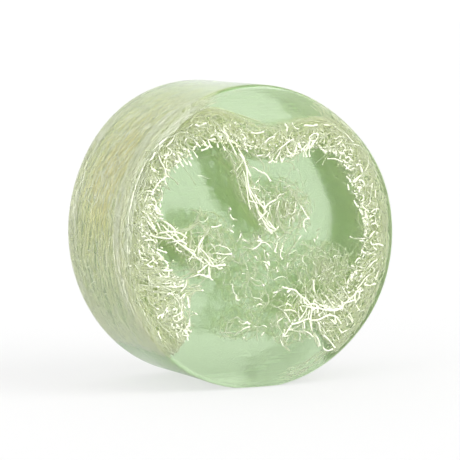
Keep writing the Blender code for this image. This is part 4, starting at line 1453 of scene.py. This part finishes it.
# piece, seed, drawn strands, oval (centre x and z, half width and height), knots,
# least gap between them, share near the front, knots and dashes at the front face,
# copies of the drawn strands
NETS = (
    ("left_net", 11, LEFT_NET, (-13.6, -1.6, 7.6, 8.6), 440, 1.5, 0.5, 36, 30, 2),
    ("upper_net", 12, UPPER_NET, (7.6, 6.6, 8.2, 8.2), 260, 1.7, 0.5, 42, 48, 2),
    ("centre_net", 13, CENTRE_NET, (1.0, -9.0, 11.5, 10.5), 420, 1.8, 0.4, 40, 66, 2),
    ("right_net", 14, RIGHT_NET, (19.2, -9.6, 8.2, 7.4), 260, 1.7, 0.5, 36, 34, 3),
    ("lower_net", 15, LOWER_NET, (10.4, -23.2, 7.6, 5.0), 200, 1.7, 0.4, 30, 28, 2),
    ("loose_tuft", 16, LOOSE_TUFT, (-4.0, -22.0, 7.4, 4.2), 160, 1.9, 0.4, 8, 8, 1),
)
CLOUDS = {                  # oval, fibres, angle they point along, y range
    "right_net": ((19.4, -9.4, 9.6, 8.4), 380, 84.0, (-16.8, -13.5)),
    "upper_net": ((8.4, 6.8, 8.2, 8.0), 240, 78.0, (-16.8, -13.0)),
}
for piece, seed, table, oval, knots, gap, near, open_knots, dashes, copies in NETS:
    rng = default_rng(seed)
    net = Strands()
    # deep knots take tints 0 to 0.5, the greener, darker colours: painted shade of depth.
    # The open knots, dashes, haze and drawn strands near the face take the paler colours.
    net_strands(rng, net, pad_points(rng, oval, knots, gap, near), (0.06, 0.11),
                tint=(0.0, 0.5))
    if piece in CLOUDS:
        haze(rng, net, *CLOUDS[piece])
    face_net(rng, net, oval, open_knots, dashes)
    drawn(default_rng(seed + 100), net, table, spread=0.6, copies=copies)
    fibre_piece(piece + "_strands", net, soaked_with_painted_shade, piece)
stray_strand = Strands()
drawn(default_rng(17), stray_strand, STRAY)
fibre_piece("stray_strand", stray_strand, pale, "stray_fibre")


# ------------------------------------------------------------------------ stage
def build_floor():
    half, height = 3, -0.0002                  # metres
    mesh = bpy.data.meshes.new("floor")
    mesh.from_pydata([(-half, -half, height), (half, -half, height),
                      (half, half, height), (-half, half, height)], [], [(0, 1, 2, 3)])
    floor = link_object("floor", mesh)
    material, tree, bsdf, _ = new_material("pale_floor")
    set_inputs(tree, bsdf, Emission_Color=(1, 1, 1, 1), Roughness=0.9,
               Specular_IOR_Level=0.1)
    light_path = add_node(tree, "LightPath")
    # its share of lit to even light, seen directly and behind the soap
    for socket, seen, behind in (("Base Color", 0.22, 0.42),
                                 ("Emission Strength", 0.658, 0.38)):
        pick = add_node(tree, "MapRange", To_Min=behind, To_Max=seen,
                        Value=light_path.outputs["Is Camera Ray"])
        set_inputs(tree, bsdf, **{socket: pick.outputs["Result"]})
    mesh.materials.append(material)


def build_world():
    world = bpy.data.worlds.new("studio")
    bpy.context.scene.world = world
    world.use_nodes = True
    tree = world.node_tree
    tree.nodes.clear()
    output = add_node(tree, "OutputWorld")
    background = add_node(tree, "Background", Color=(1, 1, 1, 1))
    set_inputs(tree, output, Surface=background.outputs[0])
    coord = add_node(tree, "TexCoord")
    split = add_node(tree, "SeparateXYZ", coord.outputs["Generated"])
    # a softbox on the left, less light from overhead, plain white to the camera
    softbox = add_node(tree, "MapRange", From_Min=0.2, From_Max=-1.0, To_Min=1.12,
                       To_Max=1.68, Value=split.outputs["X"])
    light_path = add_node(tree, "LightPath")
    overhead = add_node(tree, "MapRange", From_Min=0.1, To_Min=1.02, To_Max=0.74,
                        Value=split.outputs["Z"])
    lit = add_node(tree, "Math", softbox.outputs["Result"], overhead.outputs["Result"],
                   settings={"operation": "MULTIPLY"})
    strength = add_node(tree, "Mix", Factor=light_path.outputs["Is Camera Ray"],
                        A=lit.outputs["Value"], B=1.12)
    set_inputs(tree, background, Strength=strength.outputs["Result"])


def add_sun(name, energy, spread, towards):
    """A sun whose light comes from the direction towards."""
    data = bpy.data.lights.new(name, 'SUN')
    data.energy = energy
    data.angle = math.radians(spread)
    sun = link_object(name, data)
    sun.rotation_mode = "QUATERNION"
    sun.rotation_quaternion = Vector(towards).to_track_quat("Z", "Y")


def add_camera():
    turn, rise, distance = math.radians(-27.03), math.radians(5.84), 0.7074
    target = np.array([0.35, 0.0, 38.11]) * MM
    backward = np.array([math.sin(turn) * math.cos(rise),
                         -math.cos(turn) * math.cos(rise), math.sin(rise)])
    data = bpy.data.cameras.new("camera")
    camera = link_object("camera", data)
    camera.location = Vector(target + backward * distance)
    camera.rotation_mode = "QUATERNION"
    camera.rotation_quaternion = Vector(-backward).to_track_quat("-Z", "Y")
    data.sensor_width = 36.0
    data.lens = 216.4
    data.clip_start, data.clip_end = 0.01, 20
    bpy.context.scene.camera = camera


build_floor()
build_world()
add_sun("key", energy=1.9, spread=50, towards=(0.60, -0.56, 0.58))
add_sun("fill", energy=0.9, spread=70, towards=(-0.87, -0.36, 0.22))
add_camera()

scene = bpy.context.scene
scene.view_settings.view_transform = 'Standard'
scene.view_settings.look = 'None'
scene.cycles.max_bounces = 80
scene.cycles.transmission_bounces = 32
scene.cycles.diffuse_bounces = 40
scene.cycles.glossy_bounces = 16
scene.cycles.volume_bounces = 24
